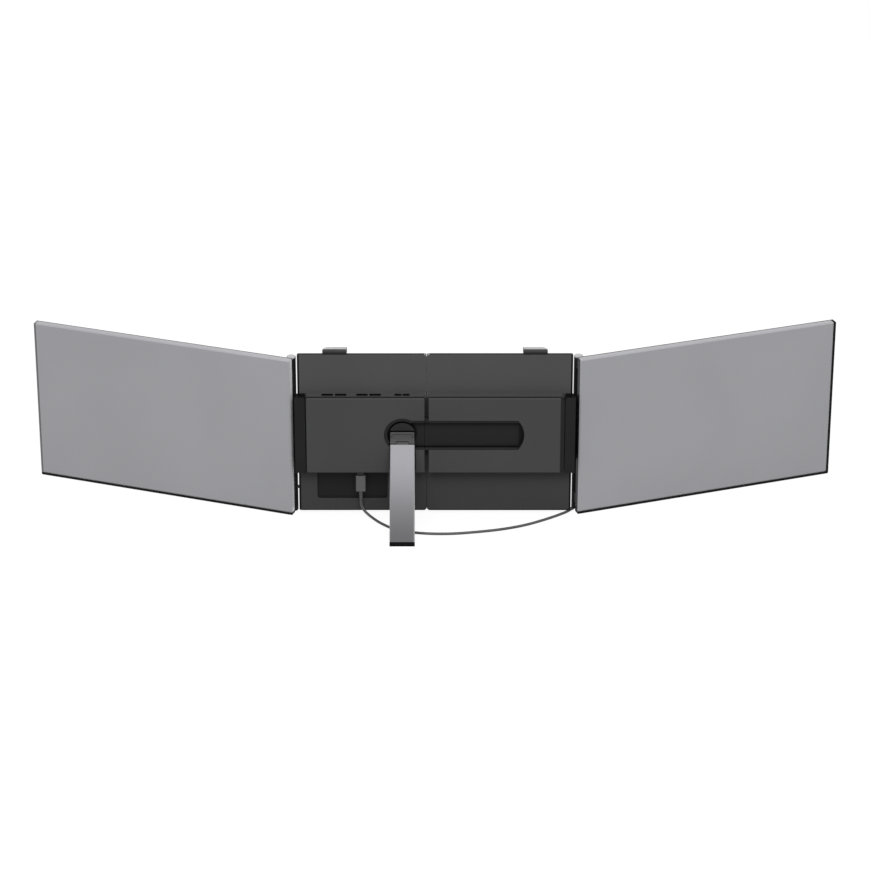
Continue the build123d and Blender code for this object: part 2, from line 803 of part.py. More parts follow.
# ---- hooks ----
def hook(side):
    """Lid hook with the strap that slides in the plate."""
    near = plate_back_y + hook_near_depth
    flat_end = near + hook_flat
    lip_in = panel_front_y + hook_lid_slot
    lip_out = lip_in + hook_tip
    fall = math.tan(math.radians(hook_slope))
    under = hook_claw / math.cos(math.radians(hook_slope))
    low = plate_top_z + body_gap
    high = plate_top_z + hook_rise
    lip_low = wing_height + body_gap + hook_wing_room
    under_end = flat_end + (high - under - low) / fall
    side_view = Polyline(
        (near, low), (near, high), (flat_end, high),
        (lip_out, high - (lip_out - flat_end) * fall), (lip_out, lip_low), (lip_in, lip_low),
        (lip_in, high - under - (lip_in - flat_end) * fall), (under_end, low), close=True,
    )
    half = hook_width / 2
    claw = extrude(Plane.YZ.offset(side * hook_x - half) * make_face(side_view), hook_width)
    outer = side * hook_x + side * half
    wedge = Polyline(
        (outer + side, near + hook_taper_start), (outer, near + hook_taper_start),
        (outer - side * hook_taper, flat_end), (outer - side * hook_taper, lip_out + past),
        (outer + side, lip_out + past), close=True,
    )
    claw -= extrude(Plane.XY.offset(lip_low - past) * make_face(wedge), high - lip_low + 2 * past)
    claw = fillet([
        e for e in claw.edges().filter_by(Axis.Y)
        if e.center().Z > high - seat_gap and e.center().Y < flat_end
    ], hook_edge)
    strap = block(
        side * hook_x - strap_width / 2, side * hook_x + strap_width / 2,
        strap_y, strap_y + hook_strap, strap_low_z, low + hook_strap,
    )
    return claw + strap


# ---- slide between the halves ----
def slide_sheet():
    """Steel sheet fixed in the right plate and guided in the left one."""
    sheet = block(
        sheet_left_x, sheet_right_x, sheet_y, sheet_y + sheet_thickness, sheet_bottom_z, sheet_top_z,
    )
    for x, z in sheet_places():
        sheet -= turned_y(screw_r + seat_gap, sheet_y - past, sheet_y + sheet_thickness + past, x, z)
    return sheet


def sheet_screws():
    screws = []
    for x, z in sheet_places():
        top = sheet_y + sheet_thickness
        head = turned_y(screw_head_r, top, top + screw_head_depth, x, z)
        shank = turned_y(screw_r, plate_back_y + plate_wall + body_gap, top, x, z)
        screws.append(head + shank - cross_slot(x, top + screw_head_depth, z))
    return screws


def slide_guides():
    """Grooved plastic rails in the left plate, at the sheet's two edges."""
    x0 = sheet_left_x - seat_gap
    x1 = seam_x - guide_seam
    y0, y1 = (plate_back_y + depth for depth in guide_depth)
    groove0 = sheet_y - body_gap
    groove1 = sheet_y + sheet_thickness + body_gap
    guides = []
    for edge, way in ((sheet_bottom_z, 1), (sheet_top_z, -1)):
        back = edge - way * guide_back
        front = edge + way * guide_bite
        rail = block(x0, x1, y0, y1, min(back, front), max(back, front))
        floor = edge - way * body_gap
        mouth = front + way * past
        rail -= block(x0 - past, x1 + past, groove0, groove1, min(floor, mouth), max(floor, mouth))
        guides.append(rail)
    return guides


# ---- hub and sockets ----
def hub_board():
    """Circuit board behind the sockets, clear of the kickstand's retainer."""
    y1 = from_plate(hub_board_depth)
    y0 = y1 - hub_thickness
    board = block(hub_left_x, hub_right_x, y0, y1, hub_low_z, hub_high_z)
    board -= turned_y(retainer_r + hub_hole_room, y0 - past, y1 + past, pivot_x, pivot_z)
    for x, z in hub_posts:
        board -= turned_y(screw_r + seat_gap, y0 - past, y1 + past, x, z)
    for x, z, w, h in hub_chips:
        left = hub_left_x + x
        low = hub_low_z + z
        board += block(left, left + w, y0 - hub_chip_height, y0, low, low + h)
    return board


def hub_studs():
    """Studs on the plate that carry the hub board."""
    y1 = plate_back_y
    y0 = from_plate(hub_board_depth)
    studs = []
    for x, z in hub_posts:
        stud = turned_y(hub_post_r, y0, y1, x, z)
        stud += turned_y(screw_r, y0 - hub_thickness - hub_post_tip, y0, x, z)
        studs.append(stud)
    return studs


def socket_shell(x, mouth, z_mouth, length, way):
    """Metal shell of one socket; way is +1 where the mouth looks up."""
    y = port_y
    z_end = z_mouth - way * length
    low, high = sorted((z_mouth, z_end))
    half_w = mouth[0] / 2
    half_d = mouth[1] / 2
    outer = block(x - half_w - port_shell, x + half_w + port_shell,
                  y - half_d - port_shell, y + half_d + port_shell, low, high)
    floor = z_end + way * port_shell
    in_low, in_high = sorted((floor, z_mouth + way))
    return outer - block(x - half_w, x + half_w, y - half_d, y + half_d, in_low, in_high)


def usb_a_shells():
    z = housing_top_z - housing_wall - seat_gap
    return [socket_shell(x, usb_a_mouth, z, usb_a_length, 1) for x in usb_a_x]


def usb_c_shells():
    """Two upward sockets, and the one in the underside that the cable's plug goes into."""
    z = housing_top_z - housing_wall - seat_gap
    shells = [socket_shell(x, usb_c_mouth, z, usb_c_length, 1) for x in usb_c_x]
    plug_mouth = (plug_tip[0] + plug_room, plug_tip[1] + plug_room)
    z_low = housing_bottom_z + housing_wall + seat_gap
    return shells + [socket_shell(plug_x, plug_mouth, z_low, plug_port_length, -1)]


def usb_tongues():
    """Contact tongues on their insulator blocks, in the upward sockets."""
    z_mouth = housing_top_z - housing_wall - seat_gap
    y = port_y
    tongues = []
    kinds = (
        (usb_a_x, usb_a_mouth, usb_a_length, usb_tongue, usb_tongue_back),
        (usb_c_x, usb_c_mouth, usb_c_length, usb_c_tongue, usb_c_tongue_back),
    )
    for places, mouth, length, tongue, back in kinds:
        floor = z_mouth - length + port_shell + seat_gap
        base_top = floor + usb_insulator * length / usb_a_length
        half_w = mouth[0] / 2 - seat_gap
        half_d = mouth[1] / 2 - seat_gap
        for x in places:
            base = block(x - half_w, x + half_w, y - half_d, y + half_d, floor, base_top)
            blade = block(x - tongue[0] / 2, x + tongue[0] / 2, y - tongue[1] / 2, y + tongue[1] / 2,
                          base_top - tongue_root, z_mouth - back)
            tongues.append(base + blade)
    return tongues


# ---- cable ----
def cable_plug():
    """Moulded plug body, its tip pointing up into the port."""
    w, d, h = plug_body
    top = housing_bottom_z - plug_gap
    y = port_y
    body = block(plug_x - w / 2, plug_x + w / 2, y - d / 2, y + d / 2, top - h, top)
    body = fillet(body.edges().filter_by(Axis.Z), plug_corner_r)
    return chamfer(body.faces().sort_by(Axis.Z)[0].edges(), plug_edge)


def plug_tip_shell():
    """Metal tip between the plug body and the port."""
    w, d, reach = plug_tip
    top = housing_bottom_z - plug_gap
    y = port_y
    tip = block(plug_x - w / 2, plug_x + w / 2, y - d / 2, y + d / 2, top, top + plug_gap + reach)
    return fillet(tip.edges().filter_by(Axis.Z), plug_tip_r)


def strain_relief():
    """Tapered sleeve between the plug and the cable."""
    top = housing_bottom_z - plug_gap - plug_body[2]
    y = port_y
    taper = Pos(plug_x, y, top - relief_length / 2) * Cone(relief_end_r, relief_top_r, relief_length)
    return taper


def cable_end():
    """Where the cable meets its grommet, and the unit direction into the hinge foot."""
    last = Vector(*cable_route[-1])
    axis = Vector(hinge_x, hinge_y(1), last.Z)
    level_way = (axis - last).normalized()
    end = axis - level_way * (barrel_r + grommet_length)
    end.Z = grommet_z
    return end, (end - last).normalized()


def power_cable():
    """Cable tube: straight runs joined by tangent arcs as large as the runs allow."""
    end, _ = cable_end()
    points = [Vector(*p) for p in cable_route] + [end]
    runs = [b - a for a, b in zip(points, points[1:])]
    radii = []
    for before, after in zip(runs, runs[1:]):
        half_turn = math.radians(before.get_angle(after)) / 2
        radii.append(0.45 * min(before.length, after.length) / math.tan(half_turn))
    print("cable radii", [round(r, 1) for r in radii], "runs", [round(r.length, 1) for r in runs])
    path = FilletPolyline(*points, radius=radii)
    section = Plane(origin=points[0], z_dir=runs[0]) * Circle(cable_d / 2)
    tube = sweep(section, path=path)
    print("cable length", round(path.length, 1), "volume ratio",
          round(tube.volume / (path.length * math.pi * cable_d ** 2 / 4), 4))
    return tube


def cable_grommet():
    """Rubber grommet on the right hinge foot."""
    end, way = cable_end()
    start = end + way * seat_gap
    plane = Plane(origin=start, z_dir=way)
    ring = extrude(plane * Circle(grommet_r), grommet_length + barrel_r / 2)
    return ring - turned(barrel_r + seat_gap / 2, 0, foot_top_z + past, hinge_x, hinge_y(1))


def cable_sleeve():
    """Conduit from the left plate's side to the left hinge barrel."""
    y = plate_back_y + plate_depth - sleeve_d / 2
    x0 = -hinge_x + barrel_r - sleeve_reach
    x1 = -half_width - seat_gap
    sleeve = turned_x(sleeve_d / 2, x0, x1, y, sleeve_z)
    sleeve -= turned_x(sleeve_bore_r, x0 - past, x1 + past, y, sleeve_z)
    return sleeve - turned(barrel_r + seat_gap / 2, 0, plate_top_z, -hinge_x, hinge_y(-1))


# ---- kickstand ----
def stand_disc():
    """Turntable with its half-moon pad and the boss through the pocket floor."""
    outer_y = tilt_y + leg_thickness / 2 + body_gap
    inner_y = recess_floor_y - body_gap
    disc = turned_y(rim_r - flange_gap, outer_y, inner_y, pivot_x, pivot_z)
    pad_y = from_plate(half_moon_depth)
    reach = disc_r + past
    pad = turned_y(disc_r, pad_y, outer_y, pivot_x, pivot_z)
    pad -= block(
        pivot_x - reach, pivot_x + reach, pad_y - past, outer_y + past,
        pivot_z - reach, pivot_z + half_moon_rise,
    )
    boss_end = recess_floor_y + recess_floor + body_gap + retainer_depth
    return disc + pad + turned_y(disc_boss_r, inner_y, boss_end, pivot_x, pivot_z)


def stand_retainer():
    """Ring that holds the turntable from behind the pocket floor."""
    y0 = recess_floor_y + recess_floor + body_gap
    y1 = y0 + retainer_depth
    ring = turned_y(retainer_r, y0, y1, pivot_x, pivot_z)
    return ring - turned_y(disc_boss_r + seat_gap / 2, y0 - past, y1 + past, pivot_x, pivot_z)


def hinge_block():
    """Block on the turntable with the two ears of the tilt hinge."""
    outer_y = from_plate(hinge_block_depth)
    seat_y = tilt_y + leg_thickness / 2 + body_gap
    x0 = pivot_x - hinge_block_half
    x1 = pivot_x + hinge_block_half
    z1 = pivot_z + hinge_block_rise
    z0 = tilt_z + knuckle_r + body_gap
    body = rounded_slab(x0, x1, z0, z1, outer_y, seat_y, (0, 0, block_corner_r, block_corner_r))
    body = chamfer(body.faces().sort_by(Axis.Y)[0].edges(), block_edge)
    for ear0, ear1 in ((x0, pivot_x - knuckle_half - body_gap), (pivot_x + knuckle_half + body_gap, x1)):
        body += turned_x(knuckle_r, ear0, ear1, tilt_y, tilt_z)
        body += block(ear0, ear1, tilt_y - knuckle_r, tilt_y + knuckle_r, tilt_z, tilt_z + knuckle_r + past)
    body -= turned_x(stand_pin_r + pin_gap, x0 - past, x1 + past, tilt_y, tilt_z)
    low = z0 + block_panel_rise
    high = z1 - block_panel_rise
    left = x0 + block_panel_side
    right = x1 - block_panel_side
    deep = outer_y + block_panel_depth
    groove = rounded_slab(left, right, low, high, outer_y - past, deep, (block_panel_r,) * 4)
    groove -= rounded_slab(
        left + block_line, right - block_line, low + block_line, high - block_line, outer_y - past, deep,
        (block_panel_r - block_line,) * 4,
    )
    return body - groove


def stand_hinge_pin():
    """Steel pin of the tilt hinge."""
    half = hinge_block_half - stand_pin_inset
    return turned_x(stand_pin_r, pivot_x - half, pivot_x + half, tilt_y, tilt_z)


def opened(shape):
    """Swing a piece drawn flat against the bracket out to the open stop."""
    return Pos(0, tilt_y, tilt_z) * Rot(-leg_lean, 0, 0) * Pos(0, -tilt_y, -tilt_z) * shape


def leg_bar(s0, s1):
    """Full section of the leg between two distances below the tilt axis."""
    def half(s):
        return (leg_top_width + (leg_foot_width - leg_top_width) * s / leg_length) / 2
    z0 = tilt_z - s0
    z1 = tilt_z - s1
    outline = Polyline(
        (pivot_x - half(s0), z0), (pivot_x + half(s0), z0), (pivot_x + half(s1), z1),
        (pivot_x - half(s1), z1), close=True,
    )
    return prism_xz(make_face(outline), tilt_y - leg_thickness / 2, tilt_y + leg_thickness / 2)


def above_table(shape):
    """Trim what reaches below the table with the leg open."""
    return shape - block(-half_width, half_width, -plate_height, plate_height, -plate_height, 0)


def stand_leg():
    """Leg: full section low down, a thin skin over a narrow neck near the hinge."""
    bar = leg_bar(skin_start, leg_length - foot_length)
    front = bar.faces().sort_by(Axis.Y)[0]
    long_edges = [e for e in front.edges() if abs(e.center().X - pivot_x) > knuckle_half]
    bar = chamfer(long_edges, leg_edge)
    neck_z = tilt_z - neck_length
    for way in (-1, 1):
        inner = pivot_x + way * knuckle_half
        outer = pivot_x + way * leg_top_width
        bar -= block(min(inner, outer), max(inner, outer),
                     tilt_y - leg_thickness / 2 + leg_skin, tilt_y + leg_thickness, neck_z, tilt_z)
    core0 = pivot_x - knuckle_half
    core1 = pivot_x + knuckle_half
    bar += block(core0, core1, tilt_y - knuckle_r, tilt_y + knuckle_r, tilt_z - skin_start - past, tilt_z)
    bar += turned_x(knuckle_r, core0, core1, tilt_y, tilt_z)
    bar -= turned_x(stand_pin_r + pin_gap, core0 - past, core1 + past, tilt_y, tilt_z)
    return above_table(opened(bar))


def stand_foot():
    """Rubber end of the leg, cut flat to the table."""
    return above_table(opened(leg_bar(leg_length - foot_length, leg_length + leg_thickness)))


# ---- write every node ----
def write_bracket(side):
    name = side_name[side]
    save(f"{name}_bracket_plate", bracket_plate(side))
    save(f"{name}_front_panel", front_panel(side))
    save(f"{name}_panel_screws", *panel_screws(side))
    save(f"{name}_lid_pads", *lid_pads(side))
    save(f"{name}_housing", housing(side))
    save(f"{name}_cover", cover(side))
    save(f"{name}_hinge_arm", hinge_arm(side))
    save(f"{name}_hinge_barrel", hinge_barrel(side))
    save(f"{name}_hinge_foot", hinge_foot(side))
    save(f"{name}_hinge_pins", *hinge_pins(side))
    save(f"{name}_hook", hook(side))


def write_wing(side):
    name = side_name[side]
    pieces = {
        "wing_cover": wing_cover(side),
        "screen_frame": screen_frame(side),
        "screen_glass": screen_block(glass_width, glass_height, glass_seat_y, glass_seat_y + glass_depth),
        "display_panel": display_panel(),
        "driver_board": driver_board(),
        "hinge_cap": hinge_cap(side),
        "power_button": wing_button(button_places[0]),
        "menu_button": wing_button(button_places[1]),
    }
    for piece, shape in pieces.items():
        save(f"{name}_{piece}", to_wing(shape, side))
    save(f"{name}_wing_brackets", *[to_wing(shape, side) for shape in hinge_brackets(side)])


for wing_side in (-1, 1):
    write_bracket(wing_side)
    write_wing(wing_side)
save("slide_sheet", slide_sheet())
save("sheet_screws", *sheet_screws())
save("slide_guides", *slide_guides())
save("hub_board", hub_board())
save("hub_studs", *hub_studs())
save("usb_a_shells", *usb_a_shells())
save("usb_c_shells", *usb_c_shells())
save("usb_tongues", *usb_tongues())
save("cable_plug", cable_plug())
save("plug_tip", plug_tip_shell())
save("strain_relief", strain_relief())
save("power_cable", power_cable())
save("cable_grommet", cable_grommet())
save("cable_sleeve", cable_sleeve())
save("stand_disc", stand_disc())
save("stand_retainer", stand_retainer())
save("stand_hinge_block", hinge_block())
save("stand_hinge_pin", stand_hinge_pin())
save("stand_leg", stand_leg())
save("stand_foot", stand_foot())
print("tilt axis", tilt_y, tilt_z, "hinges", hinge_y(-1), hinge_y(1), "cable end", cable_end())
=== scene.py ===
import json
import math

import bmesh
import bpy
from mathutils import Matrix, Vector


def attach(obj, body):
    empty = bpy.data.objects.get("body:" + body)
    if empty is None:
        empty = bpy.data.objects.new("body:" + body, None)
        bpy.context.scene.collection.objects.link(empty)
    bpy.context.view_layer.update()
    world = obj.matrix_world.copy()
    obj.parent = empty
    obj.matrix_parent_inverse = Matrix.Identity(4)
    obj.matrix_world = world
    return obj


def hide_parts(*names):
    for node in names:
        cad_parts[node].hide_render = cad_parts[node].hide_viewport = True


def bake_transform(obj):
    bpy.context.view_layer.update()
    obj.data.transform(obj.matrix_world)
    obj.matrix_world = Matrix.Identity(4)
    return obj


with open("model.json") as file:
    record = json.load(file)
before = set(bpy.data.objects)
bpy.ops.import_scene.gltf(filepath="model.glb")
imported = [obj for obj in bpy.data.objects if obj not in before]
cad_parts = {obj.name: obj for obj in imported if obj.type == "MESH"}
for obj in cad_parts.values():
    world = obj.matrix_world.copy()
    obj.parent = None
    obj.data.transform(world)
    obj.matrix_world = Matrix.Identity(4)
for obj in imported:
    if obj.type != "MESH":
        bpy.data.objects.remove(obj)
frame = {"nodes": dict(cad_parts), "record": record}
nodes = frame["nodes"]
record = frame["record"]
bodyOf = {node: body for body, members in record["behaviour"]["bodies"].items() for node in members}
slotOf = {part["node"]: part["material_slot"] for part in record["subparts"]}
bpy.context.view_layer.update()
scene = bpy.context.scene
scene.view_settings.view_transform = "Standard"
print("frame loaded:", len(nodes), "nodes")

mm = 0.001    # metres


# camera

cameraSettings = {
    "target": (0.0, -0.010, 0.0955),    # a little above the middle of the bracket's foot
    "distance": 3.757,
    "elevation": 25.12,    # degrees above the table
    "lens": 141.93,    # millimetres, as the sensor is
    "sensor": 36.0,
    "farthest": 30.0,
}


def addCamera(values):
    data = bpy.data.cameras.new("productCamera")
    data.lens = values["lens"]
    data.sensor_width = values["sensor"]
    data.clip_end = values["farthest"]
    lift = math.radians(values["elevation"])
    away = Vector((0.0, -math.cos(lift), math.sin(lift)))
    camera = bpy.data.objects.new("productCamera", data)
    camera.location = Vector(values["target"]) + away * values["distance"]
    camera.rotation_euler = away.to_track_quat("Z", "Y").to_euler()
    scene.collection.objects.link(camera)
    scene.camera = camera


addCamera(cameraSettings)
print("camera placed")


# shared shader groups


def newGroup(name, inputs, outputs):
    group = bpy.data.node_groups.new(name, "ShaderNodeTree")
    for label, kind, value in inputs:
        socket = group.interface.new_socket(label, in_out="INPUT", socket_type=kind)
        socket.default_value = value
    for label, kind in outputs:
        group.interface.new_socket(label, in_out="OUTPUT", socket_type=kind)
    source = group.nodes.new("NodeGroupInput")
    result = group.nodes.new("NodeGroupOutput")
    return group, source, result


def makeGrain():
    # fine moulded or blasted surface: a height for the bump and a slow change of shade
    group, source, result = newGroup(
        "surfaceGrain",
        [
            ("Grain Scale", "NodeSocketFloat", 900.0),
            ("Patch Scale", "NodeSocketFloat", 14.0),
            ("Patch Softness", "NodeSocketFloat", 0.35),
        ],
        [("Height", "NodeSocketFloat"), ("Shade", "NodeSocketFloat")],
    )
    place = group.nodes.new("ShaderNodeTexCoord")
    fine = group.nodes.new("ShaderNodeTexNoise")
    fine.inputs["Detail"].default_value = 4.0
    fine.inputs["Roughness"].default_value = 0.62
    slow = group.nodes.new("ShaderNodeTexNoise")
    slow.inputs["Detail"].default_value = 2.0
    spread = group.nodes.new("ShaderNodeMapRange")
    spread.interpolation_type = "SMOOTHSTEP"
    low = group.nodes.new("ShaderNodeMath")
    low.operation = "SUBTRACT"
    low.inputs[0].default_value = 0.5
    high = group.nodes.new("ShaderNodeMath")
    high.operation = "ADD"
    high.inputs[0].default_value = 0.5
    link = group.links.new
    link(place.outputs["Object"], fine.inputs["Vector"])
    link(place.outputs["Object"], slow.inputs["Vector"])
    link(source.outputs["Grain Scale"], fine.inputs["Scale"])
    link(source.outputs["Patch Scale"], slow.inputs["Scale"])
    link(source.outputs["Patch Softness"], low.inputs[1])
    link(source.outputs["Patch Softness"], high.inputs[1])
    link(slow.outputs["Fac"], spread.inputs["Value"])
    link(low.outputs[0], spread.inputs["From Min"])
    link(high.outputs[0], spread.inputs["From Max"])
    link(fine.outputs["Fac"], result.inputs["Height"])
    link(spread.outputs["Result"], result.inputs["Shade"])
    return group


def makeStep():
    # 0 before a level along one axis of the piece, 1 past it
    group, source, result = newGroup(
        "axisStep",
        [
            ("Axis", "NodeSocketVector", (0.0, 1.0, 0.0)),
            ("Level", "NodeSocketFloat", 0.0),
            ("Softness", "NodeSocketFloat", 0.0002),
        ],
        [("Mask", "NodeSocketFloat")],
    )
    place = group.nodes.new("ShaderNodeTexCoord")
    along = group.nodes.new("ShaderNodeVectorMath")
    along.operation = "DOT_PRODUCT"
    end = group.nodes.new("ShaderNodeMath")
    end.operation = "ADD"
    ramp = group.nodes.new("ShaderNodeMapRange")
    ramp.interpolation_type = "SMOOTHSTEP"
    link = group.links.new
    link(place.outputs["Object"], along.inputs[0])
    link(source.outputs["Axis"], along.inputs[1])
    link(source.outputs["Level"], end.inputs[0])
    link(source.outputs["Softness"], end.inputs[1])
    link(along.outputs["Value"], ramp.inputs["Value"])
    link(source.outputs["Level"], ramp.inputs["From Min"])
    link(end.outputs[0], ramp.inputs["From Max"])
    link(ramp.outputs["Result"], result.inputs["Mask"])
    return group


def makeFacing():
    # 1 where the piece's own surface faces along a direction, such as up
    group, source, result = newGroup(
        "facingMask",
        [
            ("Direction", "NodeSocketVector", (0.0, 0.0, 1.0)),
            ("From", "NodeSocketFloat", 0.6),
            ("To", "NodeSocketFloat", 0.85),
        ],
        [("Mask", "NodeSocketFloat")],
    )
    place = group.nodes.new("ShaderNodeTexCoord")
    along = group.nodes.new("ShaderNodeVectorMath")
    along.operation = "DOT_PRODUCT"
    ramp = group.nodes.new("ShaderNodeMapRange")
    ramp.interpolation_type = "SMOOTHSTEP"
    link = group.links.new
    link(place.outputs["Normal"], along.inputs[0])
    link(source.outputs["Direction"], along.inputs[1])
    link(source.outputs["From"], ramp.inputs["From Min"])
    link(source.outputs["To"], ramp.inputs["From Max"])
    link(along.outputs["Value"], ramp.inputs["Value"])
    link(ramp.outputs["Result"], result.inputs["Mask"])
    return group


def makeStreaks():
    # fine brushed lines along one axis of the piece
    group, source, result = newGroup(
        "brushedLines",
        [("Stretch", "NodeSocketVector", (1.0, 1.0, 0.02)), ("Scale", "NodeSocketFloat", 2400.0)],
        [("Lines", "NodeSocketFloat")],
    )
    place = group.nodes.new("ShaderNodeTexCoord")
    shape = group.nodes.new("ShaderNodeVectorMath")
    shape.operation = "MULTIPLY"
    noise = group.nodes.new("ShaderNodeTexNoise")
    noise.inputs["Detail"].default_value = 3.0
    link = group.links.new
    link(place.outputs["Object"], shape.inputs[0])
    link(source.outputs["Stretch"], shape.inputs[1])
    link(shape.outputs["Vector"], noise.inputs["Vector"])
    link(source.outputs["Scale"], noise.inputs["Scale"])
    link(noise.outputs["Fac"], result.inputs["Lines"])
    return group


def makeInside():
    # 1 inside a box between two corners of the piece, 0 outside it
    group, source, result = newGroup(
        "insideBox",
        [
            ("Low", "NodeSocketVector", (-1.0, -1.0, -1.0)),
            ("High", "NodeSocketVector", (1.0, 1.0, 1.0)),
            ("Softness", "NodeSocketFloat", 0.0002),
        ],
        [("Mask", "NodeSocketFloat")],
    )
    place = group.nodes.new("ShaderNodeTexCoord")
    link = group.links.new
    sides = []
    for label, order in (("Low", (1, 0)), ("High", (0, 1))):
        past = group.nodes.new("ShaderNodeVectorMath")
        past.operation = "SUBTRACT"
        link(place.outputs["Object"], past.inputs[order[0]])
        link(source.outputs[label], past.inputs[order[1]])
        sides.append(past)
    larger = group.nodes.new("ShaderNodeVectorMath")
    larger.operation = "MAXIMUM"
    outside = group.nodes.new("ShaderNodeVectorMath")
    outside.operation = "MAXIMUM"
    reach = group.nodes.new("ShaderNodeVectorMath")
    reach.operation = "LENGTH"
    ramp = group.nodes.new("ShaderNodeMapRange")
    ramp.interpolation_type = "SMOOTHSTEP"
    ramp.inputs["To Min"].default_value = 1.0
    ramp.inputs["To Max"].default_value = 0.0
    link(sides[0].outputs["Vector"], larger.inputs[0])
    link(sides[1].outputs["Vector"], larger.inputs[1])
    link(larger.outputs["Vector"], outside.inputs[0])
    link(outside.outputs["Vector"], reach.inputs[0])
    link(reach.outputs["Value"], ramp.inputs["Value"])
    link(source.outputs["Softness"], ramp.inputs["From Max"])
    link(ramp.outputs["Result"], result.inputs["Mask"])
    return group


groups = {
    "grain": makeGrain(), "step": makeStep(), "facing": makeFacing(), "streaks": makeStreaks(),
    "inside": makeInside(),
}
print("shader groups:", len(groups))


# finishes, one dictionary each: linear colours, roughness from and to, grain and patch as noise scales,
# relief in millimetres

